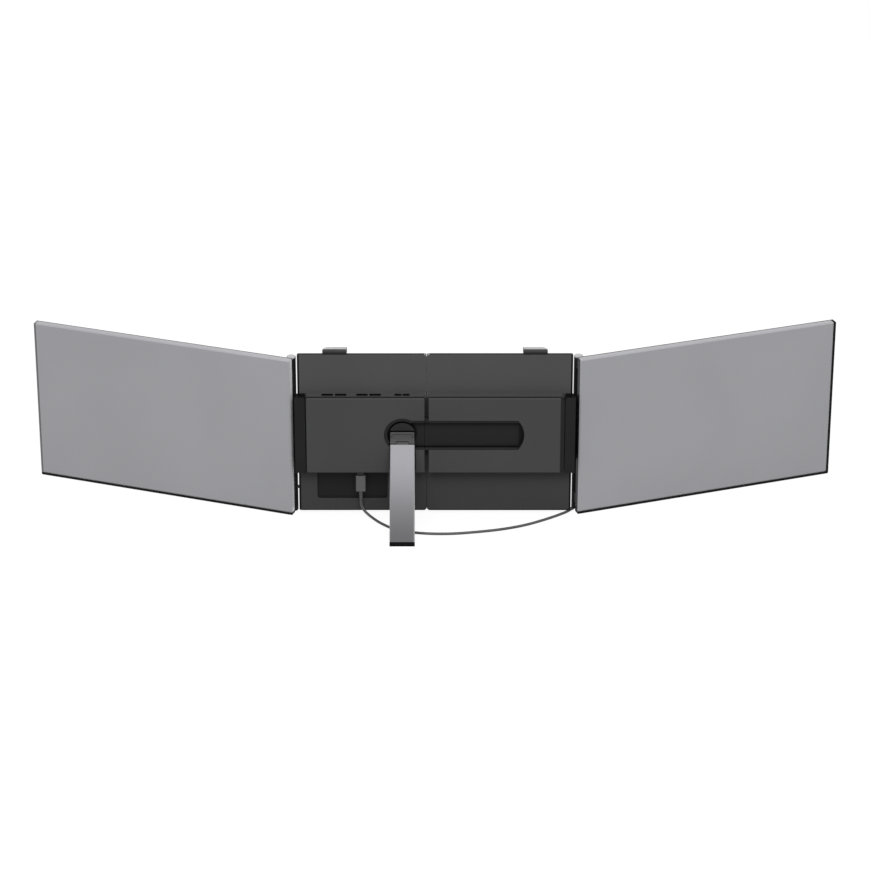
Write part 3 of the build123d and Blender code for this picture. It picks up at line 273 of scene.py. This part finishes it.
finishes = {
    "anodised_cover": {
        "dark": (0.353, 0.353, 0.373), "light": (0.381, 0.381, 0.402), "metallic": 0.15, "gloss": 0.35,
        "rough": (0.42, 0.48), "grain": 1500.0, "relief": 0.006, "patch": 9.0,
    },
    "frame_plastic": {
        "dark": (0.005, 0.005, 0.0055), "light": (0.009, 0.009, 0.0095), "metallic": 0.0, "gloss": 0.08,
        "rough": (0.42, 0.52), "grain": 1800.0, "relief": 0.02, "patch": 20.0,
    },
    "bracket_plastic": {
        "dark": (0.074, 0.074, 0.074), "light": (0.084, 0.084, 0.084), "metallic": 0.0, "gloss": 0.1,
        "rough": (0.52, 0.62), "grain": 1500.0, "relief": 0.03, "patch": 12.0,
    },
    "housing_plastic": {
        "dark": (0.060, 0.060, 0.060), "light": (0.068, 0.068, 0.068), "metallic": 0.0, "gloss": 0.1,
        "rough": (0.48, 0.58), "grain": 1500.0, "relief": 0.03, "patch": 12.0,
    },
    "hinge_alloy": {
        "dark": (0.014, 0.014, 0.0145), "light": (0.018, 0.018, 0.0186), "metallic": 0.0, "gloss": 0.08,
        "rough": (0.40, 0.50), "grain": 1200.0, "relief": 0.02, "patch": 25.0,
    },
    "hinge_cap": {
        "dark": (0.39, 0.39, 0.405), "light": (0.45, 0.45, 0.465), "metallic": 0.0, "gloss": 0.3,
        "rough": (0.36, 0.44), "grain": 1800.0, "relief": 0.004, "patch": 60.0,
    },
    "pin_steel": {
        "dark": (0.030, 0.030, 0.031), "light": (0.045, 0.045, 0.046), "metallic": 0.8, "gloss": 0.2,
        "rough": (0.25, 0.35), "grain": 2500.0, "relief": 0.004, "patch": 90.0,
    },
    "screw_steel": {
        "dark": (0.05, 0.05, 0.053), "light": (0.09, 0.09, 0.094), "metallic": 0.9, "gloss": 0.5,
        "rough": (0.35, 0.45), "grain": 2500.0, "relief": 0.006, "patch": 140.0,
    },
    "soft_pad": {
        "dark": (0.018, 0.018, 0.0185), "light": (0.026, 0.026, 0.027), "metallic": 0.0, "gloss": 0.2,
        "rough": (0.72, 0.85), "grain": 1100.0, "relief": 0.05, "patch": 40.0,
    },
    "key_plastic": {
        "dark": (0.010, 0.010, 0.011), "light": (0.016, 0.016, 0.017), "metallic": 0.0, "gloss": 0.3,
        "rough": (0.30, 0.38), "grain": 2200.0, "relief": 0.008, "patch": 120.0,
    },
    "guide_plastic": {
        "dark": (0.55, 0.54, 0.51), "light": (0.64, 0.63, 0.60), "metallic": 0.0, "gloss": 0.4,
        "rough": (0.45, 0.55), "grain": 1500.0, "relief": 0.01, "patch": 30.0,
    },
    # steel darkened to near black as painted shade inside the socket mouths
    "socket_steel": {
        "dark": (0.012, 0.012, 0.012), "light": (0.020, 0.020, 0.020), "metallic": 0.6, "gloss": 0.1,
        "rough": (0.28, 0.36), "grain": 2600.0, "relief": 0.004, "patch": 110.0,
    },
    "socket_plastic": {
        "dark": (0.002, 0.002, 0.002), "light": (0.004, 0.004, 0.004), "metallic": 0.0, "gloss": 0.05,
        "rough": (0.45, 0.55), "grain": 2600.0, "relief": 0.008, "patch": 110.0,
    },
    "plug_plastic": {
        "dark": (0.106, 0.106, 0.107), "light": (0.124, 0.124, 0.125), "metallic": 0.0, "gloss": 0.3,
        "rough": (0.50, 0.60), "grain": 1800.0, "relief": 0.02, "patch": 60.0,
    },
    "plug_metal": {
        "dark": (0.02, 0.02, 0.02), "light": (0.03, 0.03, 0.03), "metallic": 0.6, "gloss": 0.4,
        "rough": (0.35, 0.45), "grain": 2600.0, "relief": 0.004, "patch": 110.0,
    },
    "cable_jacket": {
        "dark": (0.070, 0.070, 0.071), "light": (0.090, 0.090, 0.091), "metallic": 0.0, "gloss": 0.35,
        "rough": (0.42, 0.52), "grain": 2200.0, "relief": 0.012, "patch": 50.0,
    },
    "sheet_steel": {
        "dark": (0.34, 0.34, 0.33), "light": (0.46, 0.46, 0.45), "metallic": 1.0, "gloss": 0.5,
        "rough": (0.30, 0.42), "grain": 900.0, "relief": 0.004, "patch": 16.0,
    },
    "turntable_plastic": {
        "dark": (0.021, 0.021, 0.021), "light": (0.026, 0.026, 0.026), "metallic": 0.0, "gloss": 0.1,
        "rough": (0.50, 0.62), "grain": 1500.0, "relief": 0.04, "patch": 40.0,
    },
    "hinge_block_alloy": {
        "dark": (0.080, 0.080, 0.080), "light": (0.092, 0.092, 0.092), "metallic": 0.15, "gloss": 0.1,
        "rough": (0.42, 0.52), "grain": 1500.0, "relief": 0.02, "patch": 50.0,
    },
    "leg_alloy": {
        "dark": (0.264, 0.261, 0.279), "light": (0.282, 0.279, 0.298), "metallic": 0.2, "gloss": 0.1,
        "rough": (0.42, 0.48), "grain": 1500.0, "relief": 0.004, "patch": 18.0,
    },
    "hook_plastic": {
        "dark": (0.067, 0.067, 0.068), "light": (0.078, 0.078, 0.079), "metallic": 0.0, "gloss": 0.15,
        "rough": (0.34, 0.42), "grain": 1800.0, "relief": 0.01, "patch": 60.0,
    },
    "foot_rubber": {
        "dark": (0.002, 0.002, 0.002), "light": (0.004, 0.004, 0.004), "metallic": 0.0, "gloss": 0.05,
        "rough": (0.62, 0.74), "grain": 1300.0, "relief": 0.04, "patch": 60.0,
    },
    "screen_glass": {
        "dark": (0.0035, 0.0035, 0.004), "light": (0.007, 0.007, 0.008), "metallic": 0.0, "gloss": 0.4,
        "rough": (0.24, 0.28), "grain": 3000.0, "relief": 0.002, "patch": 7.0,
    },
    "display_module": {
        "dark": (0.008, 0.008, 0.009), "light": (0.012, 0.012, 0.013), "metallic": 0.0, "gloss": 0.3,
        "rough": (0.36, 0.44), "grain": 1800.0, "relief": 0.01, "patch": 20.0,
    },
    "contact_gold": {
        "dark": (0.42, 0.27, 0.09), "light": (0.55, 0.38, 0.14), "metallic": 1.0, "gloss": 0.5,
        "rough": (0.25, 0.32), "grain": 2600.0, "relief": 0.002, "patch": 140.0,
    },
    "circuit_board": {
        "dark": (0.010, 0.060, 0.030), "light": (0.018, 0.090, 0.045), "metallic": 0.0, "gloss": 0.5,
        "rough": (0.35, 0.45), "grain": 900.0, "relief": 0.03, "patch": 160.0,
    },
}


bumpStrength = {"grain": 0.6, "lines": 0.5}


def addGroup(tree, key, values=None):
    node = tree.nodes.new("ShaderNodeGroup")
    node.node_tree = groups[key]
    for label, value in (values or {}).items():
        node.inputs[label].default_value = value
    return node


def mixColours(tree, mask, first, second):
    mix = tree.nodes.new("ShaderNodeMix")
    mix.data_type = "RGBA"
    factor, colourA, colourB = (mix.inputs[index] for index in (0, 6, 7))    # those for colours
    tree.links.new(mask, factor)
    for socket, value in ((colourA, first), (colourB, second)):
        if isinstance(value, bpy.types.NodeSocket):
            tree.links.new(value, socket)
        else:
            socket.default_value = (*value, 1.0)
    return mix.outputs[2]


def makeFinish(name, values):
    material = bpy.data.materials.new(name)
    material.use_nodes = True
    tree = material.node_tree
    shader = tree.nodes["Principled BSDF"]
    shader.inputs["Metallic"].default_value = values["metallic"]
    shader.inputs["Specular IOR Level"].default_value = values["gloss"]
    grain = addGroup(tree, "grain", {"Grain Scale": values["grain"], "Patch Scale": values["patch"]})
    colour = mixColours(tree, grain.outputs["Shade"], values["dark"], values["light"])
    tree.links.new(colour, shader.inputs["Base Color"])
    rough = tree.nodes.new("ShaderNodeMapRange")
    rough.inputs["To Min"].default_value = values["rough"][0]
    rough.inputs["To Max"].default_value = values["rough"][1]
    tree.links.new(grain.outputs["Shade"], rough.inputs["Value"])
    tree.links.new(rough.outputs["Result"], shader.inputs["Roughness"])
    bump = tree.nodes.new("ShaderNodeBump")
    bump.inputs["Strength"].default_value = bumpStrength["grain"]
    bump.inputs["Distance"].default_value = values["relief"] * mm
    tree.links.new(grain.outputs["Height"], bump.inputs["Height"])
    tree.links.new(bump.outputs["Normal"], shader.inputs["Normal"])
    return material


def paintWhere(material, masks, colour):
    # a second colour of the same finish, where every mask of a shared group is 1
    tree = material.node_tree
    shader = tree.nodes["Principled BSDF"]
    plain = shader.inputs["Base Color"].links[0].from_socket
    share = None
    for key, settings in masks:
        mask = addGroup(tree, key, settings).outputs["Mask"]
        if share:
            both = tree.nodes.new("ShaderNodeMath")
            both.operation = "MULTIPLY"
            tree.links.new(share, both.inputs[0])
            tree.links.new(mask, both.inputs[1])
            mask = both.outputs[0]
        share = mask
    tree.links.new(mixColours(tree, share, plain, colour), shader.inputs["Base Color"])


# second colours, many of them painted light and shade: where each one lies on its pieces, in metres in the
# part's frame

far = 9.0    # past the end of every piece


def inBox(low, high, softness=0.0001):
    return ("inside", {"Low": low, "High": high, "Softness": softness})


def beyond(axis, level, softness=0.0002):
    return ("step", {"Axis": axis, "Level": level, "Softness": softness})


def facing(direction, start, full):
    return ("facing", {"Direction": direction, "From": start, "To": full})


def grey(level, blue=None):
    return (level, level, blue or level)


back = (0.0, 1.0, 0.0)    # away from the kickstand, towards the laptop's lid
up = (0.0, 0.0, 1.0)
down = (0.0, 0.0, -1.0)
right = (1.0, 0.0, 0.0)
left = (-1.0, 0.0, 0.0)
legLean = math.radians(37.2)
alongLeg = (0.0, math.sin(legLean), math.cos(legLean))
wingTurn = math.radians(19.9)
alongLeftWing = (-math.cos(wingTurn), math.sin(wingTurn), 0.0)
alongRightWing = (math.cos(wingTurn), math.sin(wingTurn), 0.0)
towardsLeftHinge = tuple(-part for part in alongLeftWing)
towardsRightHinge = tuple(-part for part in alongRightWing)
flatUp = facing(up, 0.85, 0.95)

plateLine = 0.1478      # dark joint just inside the bracket's ends
plateEnd = 0.1495
faceSunk = -0.0219      # y past which the face cover is its recess
recessDeep = -0.0165    # y past which it is the recess's floor

marks = {    # later entries lie over earlier ones
    "bracket_plastic": [
        ([beyond(down, -0.0650, 0.0120)], grey(0.052)),    # painted shade on the plate below the housing
        ([beyond(back, -0.0099)], grey(0.0125, 0.0127)),    # its edges
        ([facing(back, 0.80, 0.95)], grey(0.034, 0.0345)),    # lid side
        ([inBox((-0.1296, -0.0094, 0.0186), (-0.0523, -0.0070, 0.0560))],
         grey(0.0145, 0.0147)),    # painted shade in the plug's bay
        ([inBox((-0.0116, -0.0094, -far), (-0.0060, -0.0070, far))],
         grey(0.12)),    # strip behind the seam, lighter as a painted highlight in the seam
        ([inBox((-0.0120, -0.0101, 0.1100), (-0.0062, -0.0096, 0.1402)), beyond(up, 0.1120, 0.0250)],
         grey(0.055)),    # painted shade between the two face covers, growing towards the top
        # painted light: the plate between the covers made as light as the housing's lit top
        ([inBox((-0.0120, -0.0101, 0.1405), (-0.0062, -0.0096, 0.1464))], grey(0.13)),
        ([inBox((-0.0116, -0.0094, 0.1467), (-0.0060, -0.0070, far))],
         grey(0.40)),    # the same strip above the housing, a stronger painted highlight
        ([inBox((-plateEnd, -far, -far), (-plateLine, far, far))], grey(0.004)),
        ([inBox((plateLine, -far, -far), (plateEnd, far, far))], grey(0.004)),
        ([inBox((-far, -far, 0.0030), (far, far, 0.0050))], grey(0.008)),    # painted shade along the foot of the plate
    ],
    "housing_plastic": [
        ([inBox((-far, -0.0212, -far), (far, -0.0200, far))],
         grey(0.006, 0.0062)),    # painted shade in the joint with the face cover
    ],
    "face_plastic": [
        ([flatUp, beyond(up, 0.1440)], grey(0.004)),    # painted shade on the top wall under the housing
        ([inBox((-far, -far, 0.1441), (far, -0.0224, 0.1450))],
         grey(0.078)),    # painted highlight on the top edge, then painted shade above it
        ([inBox((-far, -far, 0.1452), (far, -0.0224, far))], grey(0.040)),
        ([beyond(back, -0.0224)], grey(0.0165, 0.0167)),    # painted shade on the sunk border
        ([beyond(back, faceSunk)], grey(0.017, 0.0172)),    # painted shade in the recess
        ([beyond(back, faceSunk), flatUp], grey(0.034, 0.0342)),    # painted light on its lower wall, which faces up
        # painted shade along the front of the lower wall
        ([flatUp, inBox((-0.0300, -0.0227, 0.0825), (0.1000, -0.0214, 0.0850))], grey(0.010)),
        ([beyond(back, recessDeep), beyond(down, -0.0866, 0.0018)], grey(0.004)),    # painted shade round its floor
        ([beyond(back, recessDeep), beyond(up, 0.1090, 0.0030)], grey(0.005)),
        ([beyond(back, recessDeep), beyond(right, 0.0900, 0.0030)], grey(0.005)),
    ],
    "hinge_alloy": [
        ([facing(up, 0.6, 0.9)], grey(0.003, 0.0032)),    # painted shade on the tops of the arms
    ],
    "turntable_plastic": [
        ([beyond(back, -0.0214)], grey(0.002)),    # painted shade behind the half-moon pad's face
    ],
    "hinge_block_alloy": [
        ([beyond(back, -0.0220)], grey(0.004, 0.0042)),    # painted shade in the sunk outline and on the sides
        ([beyond(down, -0.0985, 0.0030)], grey(0.105)),    # ears, lighter as painted light
    ],
    "leg_alloy": [
        ([beyond(down, -0.088, 0.090)], grey(0.092, 0.0955)),    # darker towards the foot
        ([beyond(right, -0.0230)], grey(0.40, 0.41)),    # painted highlights on the edges
        ([beyond(left, 0.0486)], grey(0.33, 0.34)),
        ([beyond(alongLeg, 0.0574)], grey(0.056)),    # end between the ears
    ],
    "hook_plastic": [
        ([beyond(down, -0.1970, 0.0045)], grey(0.012)),    # painted shade, darker towards the plate
        ([facing(up, 0.72, 0.90)], grey(0.40, 0.41)),    # painted light on the top
    ],
    "left_wing_metal": [
        ([facing(towardsLeftHinge, 0.80, 0.95)], grey(0.90, 0.92)),    # painted light on the end beside the hinge
        ([beyond(alongLeftWing, 0.4462)], grey(0.150, 0.156)),    # painted shade on the outer edge
    ],
    "right_wing_metal": [
        # painted shade on the end beside the hinge
        ([facing(towardsRightHinge, 0.80, 0.95)], grey(0.035, 0.040)),
        # painted light on the outer edge
        ([beyond(alongRightWing, 0.4459)], grey(0.44, 0.455)),
    ],
}
variants = {    # the same finish with marks of its own, most of them painted light and shade
    "face_plastic": "housing_plastic",
    "left_wing_metal": "anodised_cover",
    "right_wing_metal": "anodised_cover",
}
shadedSocketMouths = {    # painted shade on the inner walls of the socket mouths in the housing's top wall
    "middles": (-0.11725, -0.10265, -0.07945, -0.0651, -0.04045, -0.03145),
    "halfWidths": (0.0062, 0.0062, 0.0062, 0.0062, 0.0036, 0.0036),    # four large, two small
    "front": -0.0176,
    "back": -0.0124,
    "lowest": 0.1448,
    "highest": 0.1464,
    "colour": grey(0.001),
}


def mouthShadeMarks(values):
    for middle, half in zip(values["middles"], values["halfWidths"]):
        low = (middle - half, values["front"], values["lowest"])
        high = (middle + half, values["back"], values["highest"])
        yield [inBox(low, high)], values["colour"]


marks["housing_plastic"].extend(mouthShadeMarks(shadedSocketMouths))


legLines = {"stretch": (1.0, 0.03, 0.03), "scale": 5200.0, "relief": 0.003}    # relief in millimetres
glassCoat = {"Coat Weight": 0.2, "Coat Roughness": 0.12}


def addLines(material, values):
    # brushed lines on top of the finish's own grain
    tree = material.node_tree
    shader = tree.nodes["Principled BSDF"]
    lines = addGroup(tree, "streaks", {"Stretch": values["stretch"], "Scale": values["scale"]})
    brushed = tree.nodes.new("ShaderNodeBump")
    brushed.inputs["Strength"].default_value = bumpStrength["lines"]
    brushed.inputs["Distance"].default_value = values["relief"] * mm
    tree.links.new(lines.outputs["Lines"], brushed.inputs["Height"])
    tree.links.new(shader.inputs["Normal"].links[0].from_socket, brushed.inputs["Normal"])
    tree.links.new(brushed.outputs["Normal"], shader.inputs["Normal"])


materials = {name: makeFinish(name, values) for name, values in finishes.items()}
for name, plain in variants.items():
    materials[name] = makeFinish(name, finishes[plain])
for name, entries in marks.items():
    for masks, colour in entries:
        paintWhere(materials[name], masks, colour)
addLines(materials["leg_alloy"], legLines)
for label, value in glassCoat.items():
    materials["screen_glass"].node_tree.nodes["Principled BSDF"].inputs[label].default_value = value
finishOf = {
    "left_cover": materials["face_plastic"], "right_cover": materials["face_plastic"],
    "left_wing_cover": materials["left_wing_metal"], "right_wing_cover": materials["right_wing_metal"],
}
for node in nodes:
    finishOf.setdefault(node, materials[slotOf[node]])
print("materials:", len(materials))


# pieces made from the plain nodes: edges merged, flats joined, corners rounded

edgeRounding = {    # millimetres, for both sides' pieces unless the side is named
    "bracket_plate": 0.35, "front_panel": 0.4, "lid_pads": 0.2, "cover": 0.22,
    "hinge_arm": 0.45, "hinge_barrel": 0.25, "hinge_foot": 0.3, "wing_cover": 0.35, "screen_frame": 0.3,
    "screen_glass": 0.15, "wing_brackets": 0.3, "hook": 0.12, "stand_hinge_block": 0.06, "stand_leg": 0.22,
    "stand_foot": 0.35, "stand_disc": 0.15, "cable_plug": 0.35, "panel_screws": 0.12, "power_button": 0.15,
    "menu_button": 0.15, "right_screen_frame": 0.1,
}
# rounded no wider than their shortest edges allow
heldRounding = ("wing_cover", "front_panel", "hinge_arm", "cover", "right_bracket_plate")
edgeSettings = {
    "segments": 3,
    "angle": 32.0,    # degrees, from which an edge is rounded
    "mergeWithin": 0.002 * mm,
    "flatWithin": 0.4,    # degrees
    "weight": 100,    # the larger face gives a corner its normal
}


def cleanMesh(node, settings):
    work = bmesh.new()
    work.from_mesh(nodes[node].data)
    bmesh.ops.remove_doubles(work, verts=work.verts, dist=settings["mergeWithin"])
    bmesh.ops.dissolve_limit(
        work, angle_limit=math.radians(settings["flatWithin"]), verts=work.verts, edges=work.edges,
    )
    mesh = bpy.data.meshes.new(node + "_mesh")
    work.to_mesh(mesh)
    work.free()
    if "custom_normal" in mesh.attributes:
        mesh.attributes.remove(mesh.attributes["custom_normal"])
    mesh.shade_smooth()
    return mesh


def pieceName(node):
    first, *others = node.split("_")
    return first + "".join(word.title() for word in others)


def roundedPiece(node, width, settings):
    mesh = cleanMesh(node, settings)
    mesh.materials.clear()
    mesh.materials.append(finishOf[node])
    piece = bpy.data.objects.new(pieceName(node), mesh)
    scene.collection.objects.link(piece)
    bevel = piece.modifiers.new("roundedEdges", "BEVEL")
    bevel.width = width * mm
    bevel.segments = settings["segments"]
    bevel.limit_method = "ANGLE"
    bevel.angle_limit = math.radians(settings["angle"])
    bevel.use_clamp_overlap = node in heldRounding or plainName(node) in heldRounding
    even = piece.modifiers.new("evenNormals", "WEIGHTED_NORMAL")
    even.mode = "FACE_AREA"
    even.weight = settings["weight"]
    even.thresh = 0.0
    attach(piece, bodyOf[node])
    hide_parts(node)
    return piece


def plainName(node):
    for side in ("left_", "right_"):
        if node.startswith(side):
            return node[len(side):]
    return node


for node in sorted(nodes):
    width = edgeRounding.get(node, edgeRounding.get(plainName(node)))
    if width:
        roundedPiece(node, width, edgeSettings)
    else:
        nodes[node].data.materials.clear()
        nodes[node].data.materials.append(finishOf[node])


# ribs and contact strips, repeated along a line

repeats = {    # millimetres; one piece each
    "leftPadRibs": {
        "body": "left_half", "slot": "soft_pad", "finish": "soft_pad", "size": (6.4, 0.5, 1.3),
        "count": 37, "step": (0.0, 0.0, 3.1), "starts": [(-84.5, -1.2, 44.2), (-39.5, -1.2, 44.2)],
    },
    "rightPadRibs": {
        "body": "right_half", "slot": "soft_pad", "finish": "soft_pad", "size": (6.4, 0.5, 1.3),
        "count": 37, "step": (0.0, 0.0, 3.1), "starts": [(39.5, -1.2, 44.2), (84.5, -1.2, 44.2)],
    },
    "turntableRibs": {
        "body": "stand_turntable", "slot": "turntable_plastic", "finish": "turntable_plastic",
        "size": (0.6, 0.5, 2.2), "count": 13, "step": (1.4, 0.0, 0.0), "starts": [(-44.1, -21.8, 107.7)],
    },
    "socketContacts": {
        "body": "left_half", "slot": "socket_steel", "finish": "contact_gold", "size": (1.0, 0.12, 4.6),
        "count": 4, "step": (2.2, 0.0, 0.0),
        "starts": [
            (-120.55, -16.93, 137.0), (-105.95, -16.93, 137.0),
            (-82.75, -16.93, 137.0), (-68.4, -16.93, 137.0),
        ],
    },
}


def makeRepeat():
    # bars of one size along a line, as real geometry with its material
    tree = bpy.data.node_groups.new("repeatBars", "GeometryNodeTree")
    for label, kind in (
        ("Geometry", "NodeSocketGeometry"), ("Start", "NodeSocketVector"), ("Step", "NodeSocketVector"),
        ("Count", "NodeSocketInt"), ("Bar Size", "NodeSocketVector"), ("Material", "NodeSocketMaterial"),
    ):
        tree.interface.new_socket(label, in_out="INPUT", socket_type=kind)
    tree.interface.new_socket("Geometry", in_out="OUTPUT", socket_type="NodeSocketGeometry")
    source = tree.nodes.new("NodeGroupInput")
    result = tree.nodes.new("NodeGroupOutput")
    line = tree.nodes.new("GeometryNodeMeshLine")
    bar = tree.nodes.new("GeometryNodeMeshCube")
    placed = tree.nodes.new("GeometryNodeInstanceOnPoints")
    real = tree.nodes.new("GeometryNodeRealizeInstances")
    painted = tree.nodes.new("GeometryNodeSetMaterial")
    link = tree.links.new
    link(source.outputs["Count"], line.inputs["Count"])
    link(source.outputs["Start"], line.inputs["Start Location"])
    link(source.outputs["Step"], line.inputs["Offset"])
    link(source.outputs["Bar Size"], bar.inputs["Size"])
    link(line.outputs["Mesh"], placed.inputs["Points"])
    link(bar.outputs["Mesh"], placed.inputs["Instance"])
    link(placed.outputs["Instances"], real.inputs["Geometry"])
    link(real.outputs["Geometry"], painted.inputs["Geometry"])
    link(source.outputs["Material"], painted.inputs["Material"])
    link(painted.outputs["Geometry"], result.inputs["Geometry"])
    return tree


def addRepeat(name, tree, values):
    socketOf = {item.name: item.identifier for item in tree.interface.items_tree if item.in_out == "INPUT"}
    whole = bmesh.new()
    for start in values["starts"]:
        maker = bpy.data.objects.new("barMaker", bpy.data.meshes.new("barMaker"))
        scene.collection.objects.link(maker)
        modifier = maker.modifiers.new("bars", "NODES")
        modifier.node_group = tree
        modifier[socketOf["Start"]] = [part * mm for part in start]
        modifier[socketOf["Step"]] = [part * mm for part in values["step"]]
        modifier[socketOf["Count"]] = values["count"]
        modifier[socketOf["Bar Size"]] = [part * mm for part in values["size"]]
        modifier[socketOf["Material"]] = materials[values["finish"]]
        bpy.context.view_layer.update()
        bars = bpy.data.meshes.new_from_object(maker.evaluated_get(bpy.context.evaluated_depsgraph_get()))
        whole.from_mesh(bars)
        maker.modifiers.remove(modifier)
        bpy.data.objects.remove(maker)
    mesh = bpy.data.meshes.new(name)
    whole.to_mesh(mesh)
    whole.free()
    mesh.materials.append(materials[values["finish"]])
    piece = bpy.data.objects.new(name, mesh)
    scene.collection.objects.link(piece)
    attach(piece, values["body"])
    print(name, "bars:", values["count"] * len(values["starts"]))


repeatBars = makeRepeat()
for name, values in repeats.items():
    addRepeat(name, repeatBars, values)


# lead between the plug and the right hinge foot

lead = {
    "diameter": 0.003,
    "sides": 20,
    "perSpan": 10,    # rings between two points of the route
    "order": 3,
    "moves": (-0.070, 0.140),    # x where it starts to follow the right half, and where it fully does
    "route": [    # from the plug's strain relief to the right hinge foot
        (-0.0817, -0.0160, 0.0200), (-0.0817, -0.0160, 0.0140), (-0.0793, -0.0170, 0.0083),
        (-0.0746, -0.0200, 0.0041), (-0.0684, -0.0264, 0.0019), (-0.0600, -0.0380, 0.0015),
        (-0.0450, -0.0530, 0.0015), (-0.0180, -0.0630, 0.0015), (0.0160, -0.0645, 0.0015),
        (0.0460, -0.0595, 0.0015), (0.0740, -0.0530, 0.0015), (0.1000, -0.0425, 0.0015),
        (0.1220, -0.0285, 0.0015), (0.1380, -0.0165, 0.0015), (0.1480, -0.0078, 0.0016),
        (0.1517, -0.0030, 0.00235),
    ],
}


def smoothLine(values):
    curve = bpy.data.curves.new("leadLine", "CURVE")
    curve.dimensions = "3D"
    curve.resolution_u = values["perSpan"]
    spline = curve.splines.new("NURBS")
    spline.points.add(len(values["route"]) - 1)
    for point, place in zip(spline.points, values["route"]):
        point.co = (*place, 1.0)
    spline.order_u = values["order"]
    spline.use_endpoint_u = True
    line = bpy.data.objects.new("leadLine", curve)
    scene.collection.objects.link(line)
    bpy.context.view_layer.update()
    mesh = bpy.data.meshes.new_from_object(line)
    points = [vertex.co.copy() for vertex in mesh.vertices]
    bpy.data.objects.remove(line)
    return points


def tubeMesh(name, points, radius, sides):
    work = bmesh.new()
    rings = []
    side = Vector((0.0, 1.0, 0.0))
    for index, point in enumerate(points):
        before = points[max(index - 1, 0)]
        after = points[min(index + 1, len(points) - 1)]
        along = (after - before).normalized()
        side = (side - along * side.dot(along)).normalized()
        across = along.cross(side)
        ring = []
        for step in range(sides):
            turn = 2 * math.pi * step / sides
            ring.append(work.verts.new(point + (side * math.cos(turn) + across * math.sin(turn)) * radius))
        rings.append(ring)
    for first, second in zip(rings, rings[1:]):
        for step in range(sides):
            following = (step + 1) % sides
            work.faces.new((first[step], first[following], second[following], second[step]))
    work.faces.new(list(reversed(rings[0])))
    work.faces.new(rings[-1])
    bmesh.ops.recalc_face_normals(work, faces=work.faces)
    mesh = bpy.data.meshes.new(name)
    work.to_mesh(mesh)
    work.free()
    for polygon in mesh.polygons:
        polygon.use_smooth = len(polygon.vertices) == 4
    return mesh


def addLead(values):
    points = smoothLine(values)
    mesh = tubeMesh("leadMesh", points, values["diameter"] / 2, values["sides"])
    mesh.materials.append(materials["cable_jacket"])
    piece = bpy.data.objects.new("lead", mesh)
    scene.collection.objects.link(piece)
    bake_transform(piece)
    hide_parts("power_cable")


addLead(lead)


# floor, world and lamps

studio = {
    "floorSize": 14.0,
    "floorDrop": 0.0002,
    "floorBounce": 0.35,     # what the floor throws back at the object
    "floorSeen": 0.12,       # share of the seen floor that takes shadows
    "floorGlow": 0.91,
    "ambient": 0.55,
}
lamps = {
    "key": {"place": (0.0, -1.7, 2.1), "aim": (0.0, 0.0, 0.1), "size": (2.4, 1.2), "power": 42.0},
    "top": {"place": (0.0, 0.2, 2.3), "aim": (0.0, 0.0, 0.15), "size": (2.4, 1.6), "power": 16.0},
}


def seenDirectly(tree):
    # 1 for camera, glossy and transmission rays
    path = tree.nodes.new("ShaderNodeLightPath")
    first = tree.nodes.new("ShaderNodeMath")
    first.operation = "MAXIMUM"
    second = tree.nodes.new("ShaderNodeMath")
    second.operation = "MAXIMUM"
    tree.links.new(path.outputs["Is Camera Ray"], first.inputs[0])
    tree.links.new(path.outputs["Is Glossy Ray"], first.inputs[1])
    tree.links.new(first.outputs[0], second.inputs[0])
    tree.links.new(path.outputs["Is Transmission Ray"], second.inputs[1])
    return second.outputs[0]


def scaled(tree, mask, low, high):
    ramp = tree.nodes.new("ShaderNodeMapRange")
    ramp.inputs["To Min"].default_value = low
    ramp.inputs["To Max"].default_value = high
    tree.links.new(mask, ramp.inputs["Value"])
    return ramp.outputs["Result"]


def addFloor(values):
    half = values["floorSize"] / 2
    drop = -values["floorDrop"]
    mesh = bpy.data.meshes.new("floor")
    mesh.from_pydata(
        [(-half, -half, drop), (half, -half, drop), (half, half, drop), (-half, half, drop)],
        [], [(0, 1, 2, 3)],
    )
    floor = bpy.data.objects.new("floor", mesh)
    scene.collection.objects.link(floor)
    material = bpy.data.materials.new("paleFloor")
    material.use_nodes = True
    tree = material.node_tree
    shader = tree.nodes["Principled BSDF"]
    seen = seenDirectly(tree)
    bounce = (values["floorBounce"],) * 3
    shown = (values["floorSeen"],) * 3
    tree.links.new(mixColours(tree, seen, bounce, shown), shader.inputs["Base Color"])
    shader.inputs["Roughness"].default_value = 1.0
    shader.inputs["Specular IOR Level"].default_value = 0.0
    shader.inputs["Emission Color"].default_value = (1.0, 1.0, 1.0, 1.0)
    tree.links.new(scaled(tree, seen, 0.0, values["floorGlow"]), shader.inputs["Emission Strength"])
    mesh.materials.append(material)


def addWorld(values):
    world = bpy.data.worlds.new("studioWorld")
    world.use_nodes = True
    tree = world.node_tree
    background = tree.nodes["Background"]
    background.inputs["Color"].default_value = (1.0, 1.0, 1.0, 1.0)
    tree.links.new(scaled(tree, seenDirectly(tree), values["ambient"], 1.0), background.inputs["Strength"])
    scene.world = world


def addLamps(table):
    for name, values in table.items():
        data = bpy.data.lights.new(name, "AREA")
        data.shape = "RECTANGLE"
        data.size, data.size_y = values["size"]
        data.energy = values["power"]
        lamp = bpy.data.objects.new(name, data)
        lamp.location = values["place"]
        toward = Vector(values["aim"]) - Vector(values["place"])
        lamp.rotation_euler = toward.to_track_quat("-Z", "Y").to_euler()
        scene.collection.objects.link(lamp)


addFloor(studio)
addWorld(studio)
addLamps(lamps)
print("floor, world and", len(lamps), "lamps")
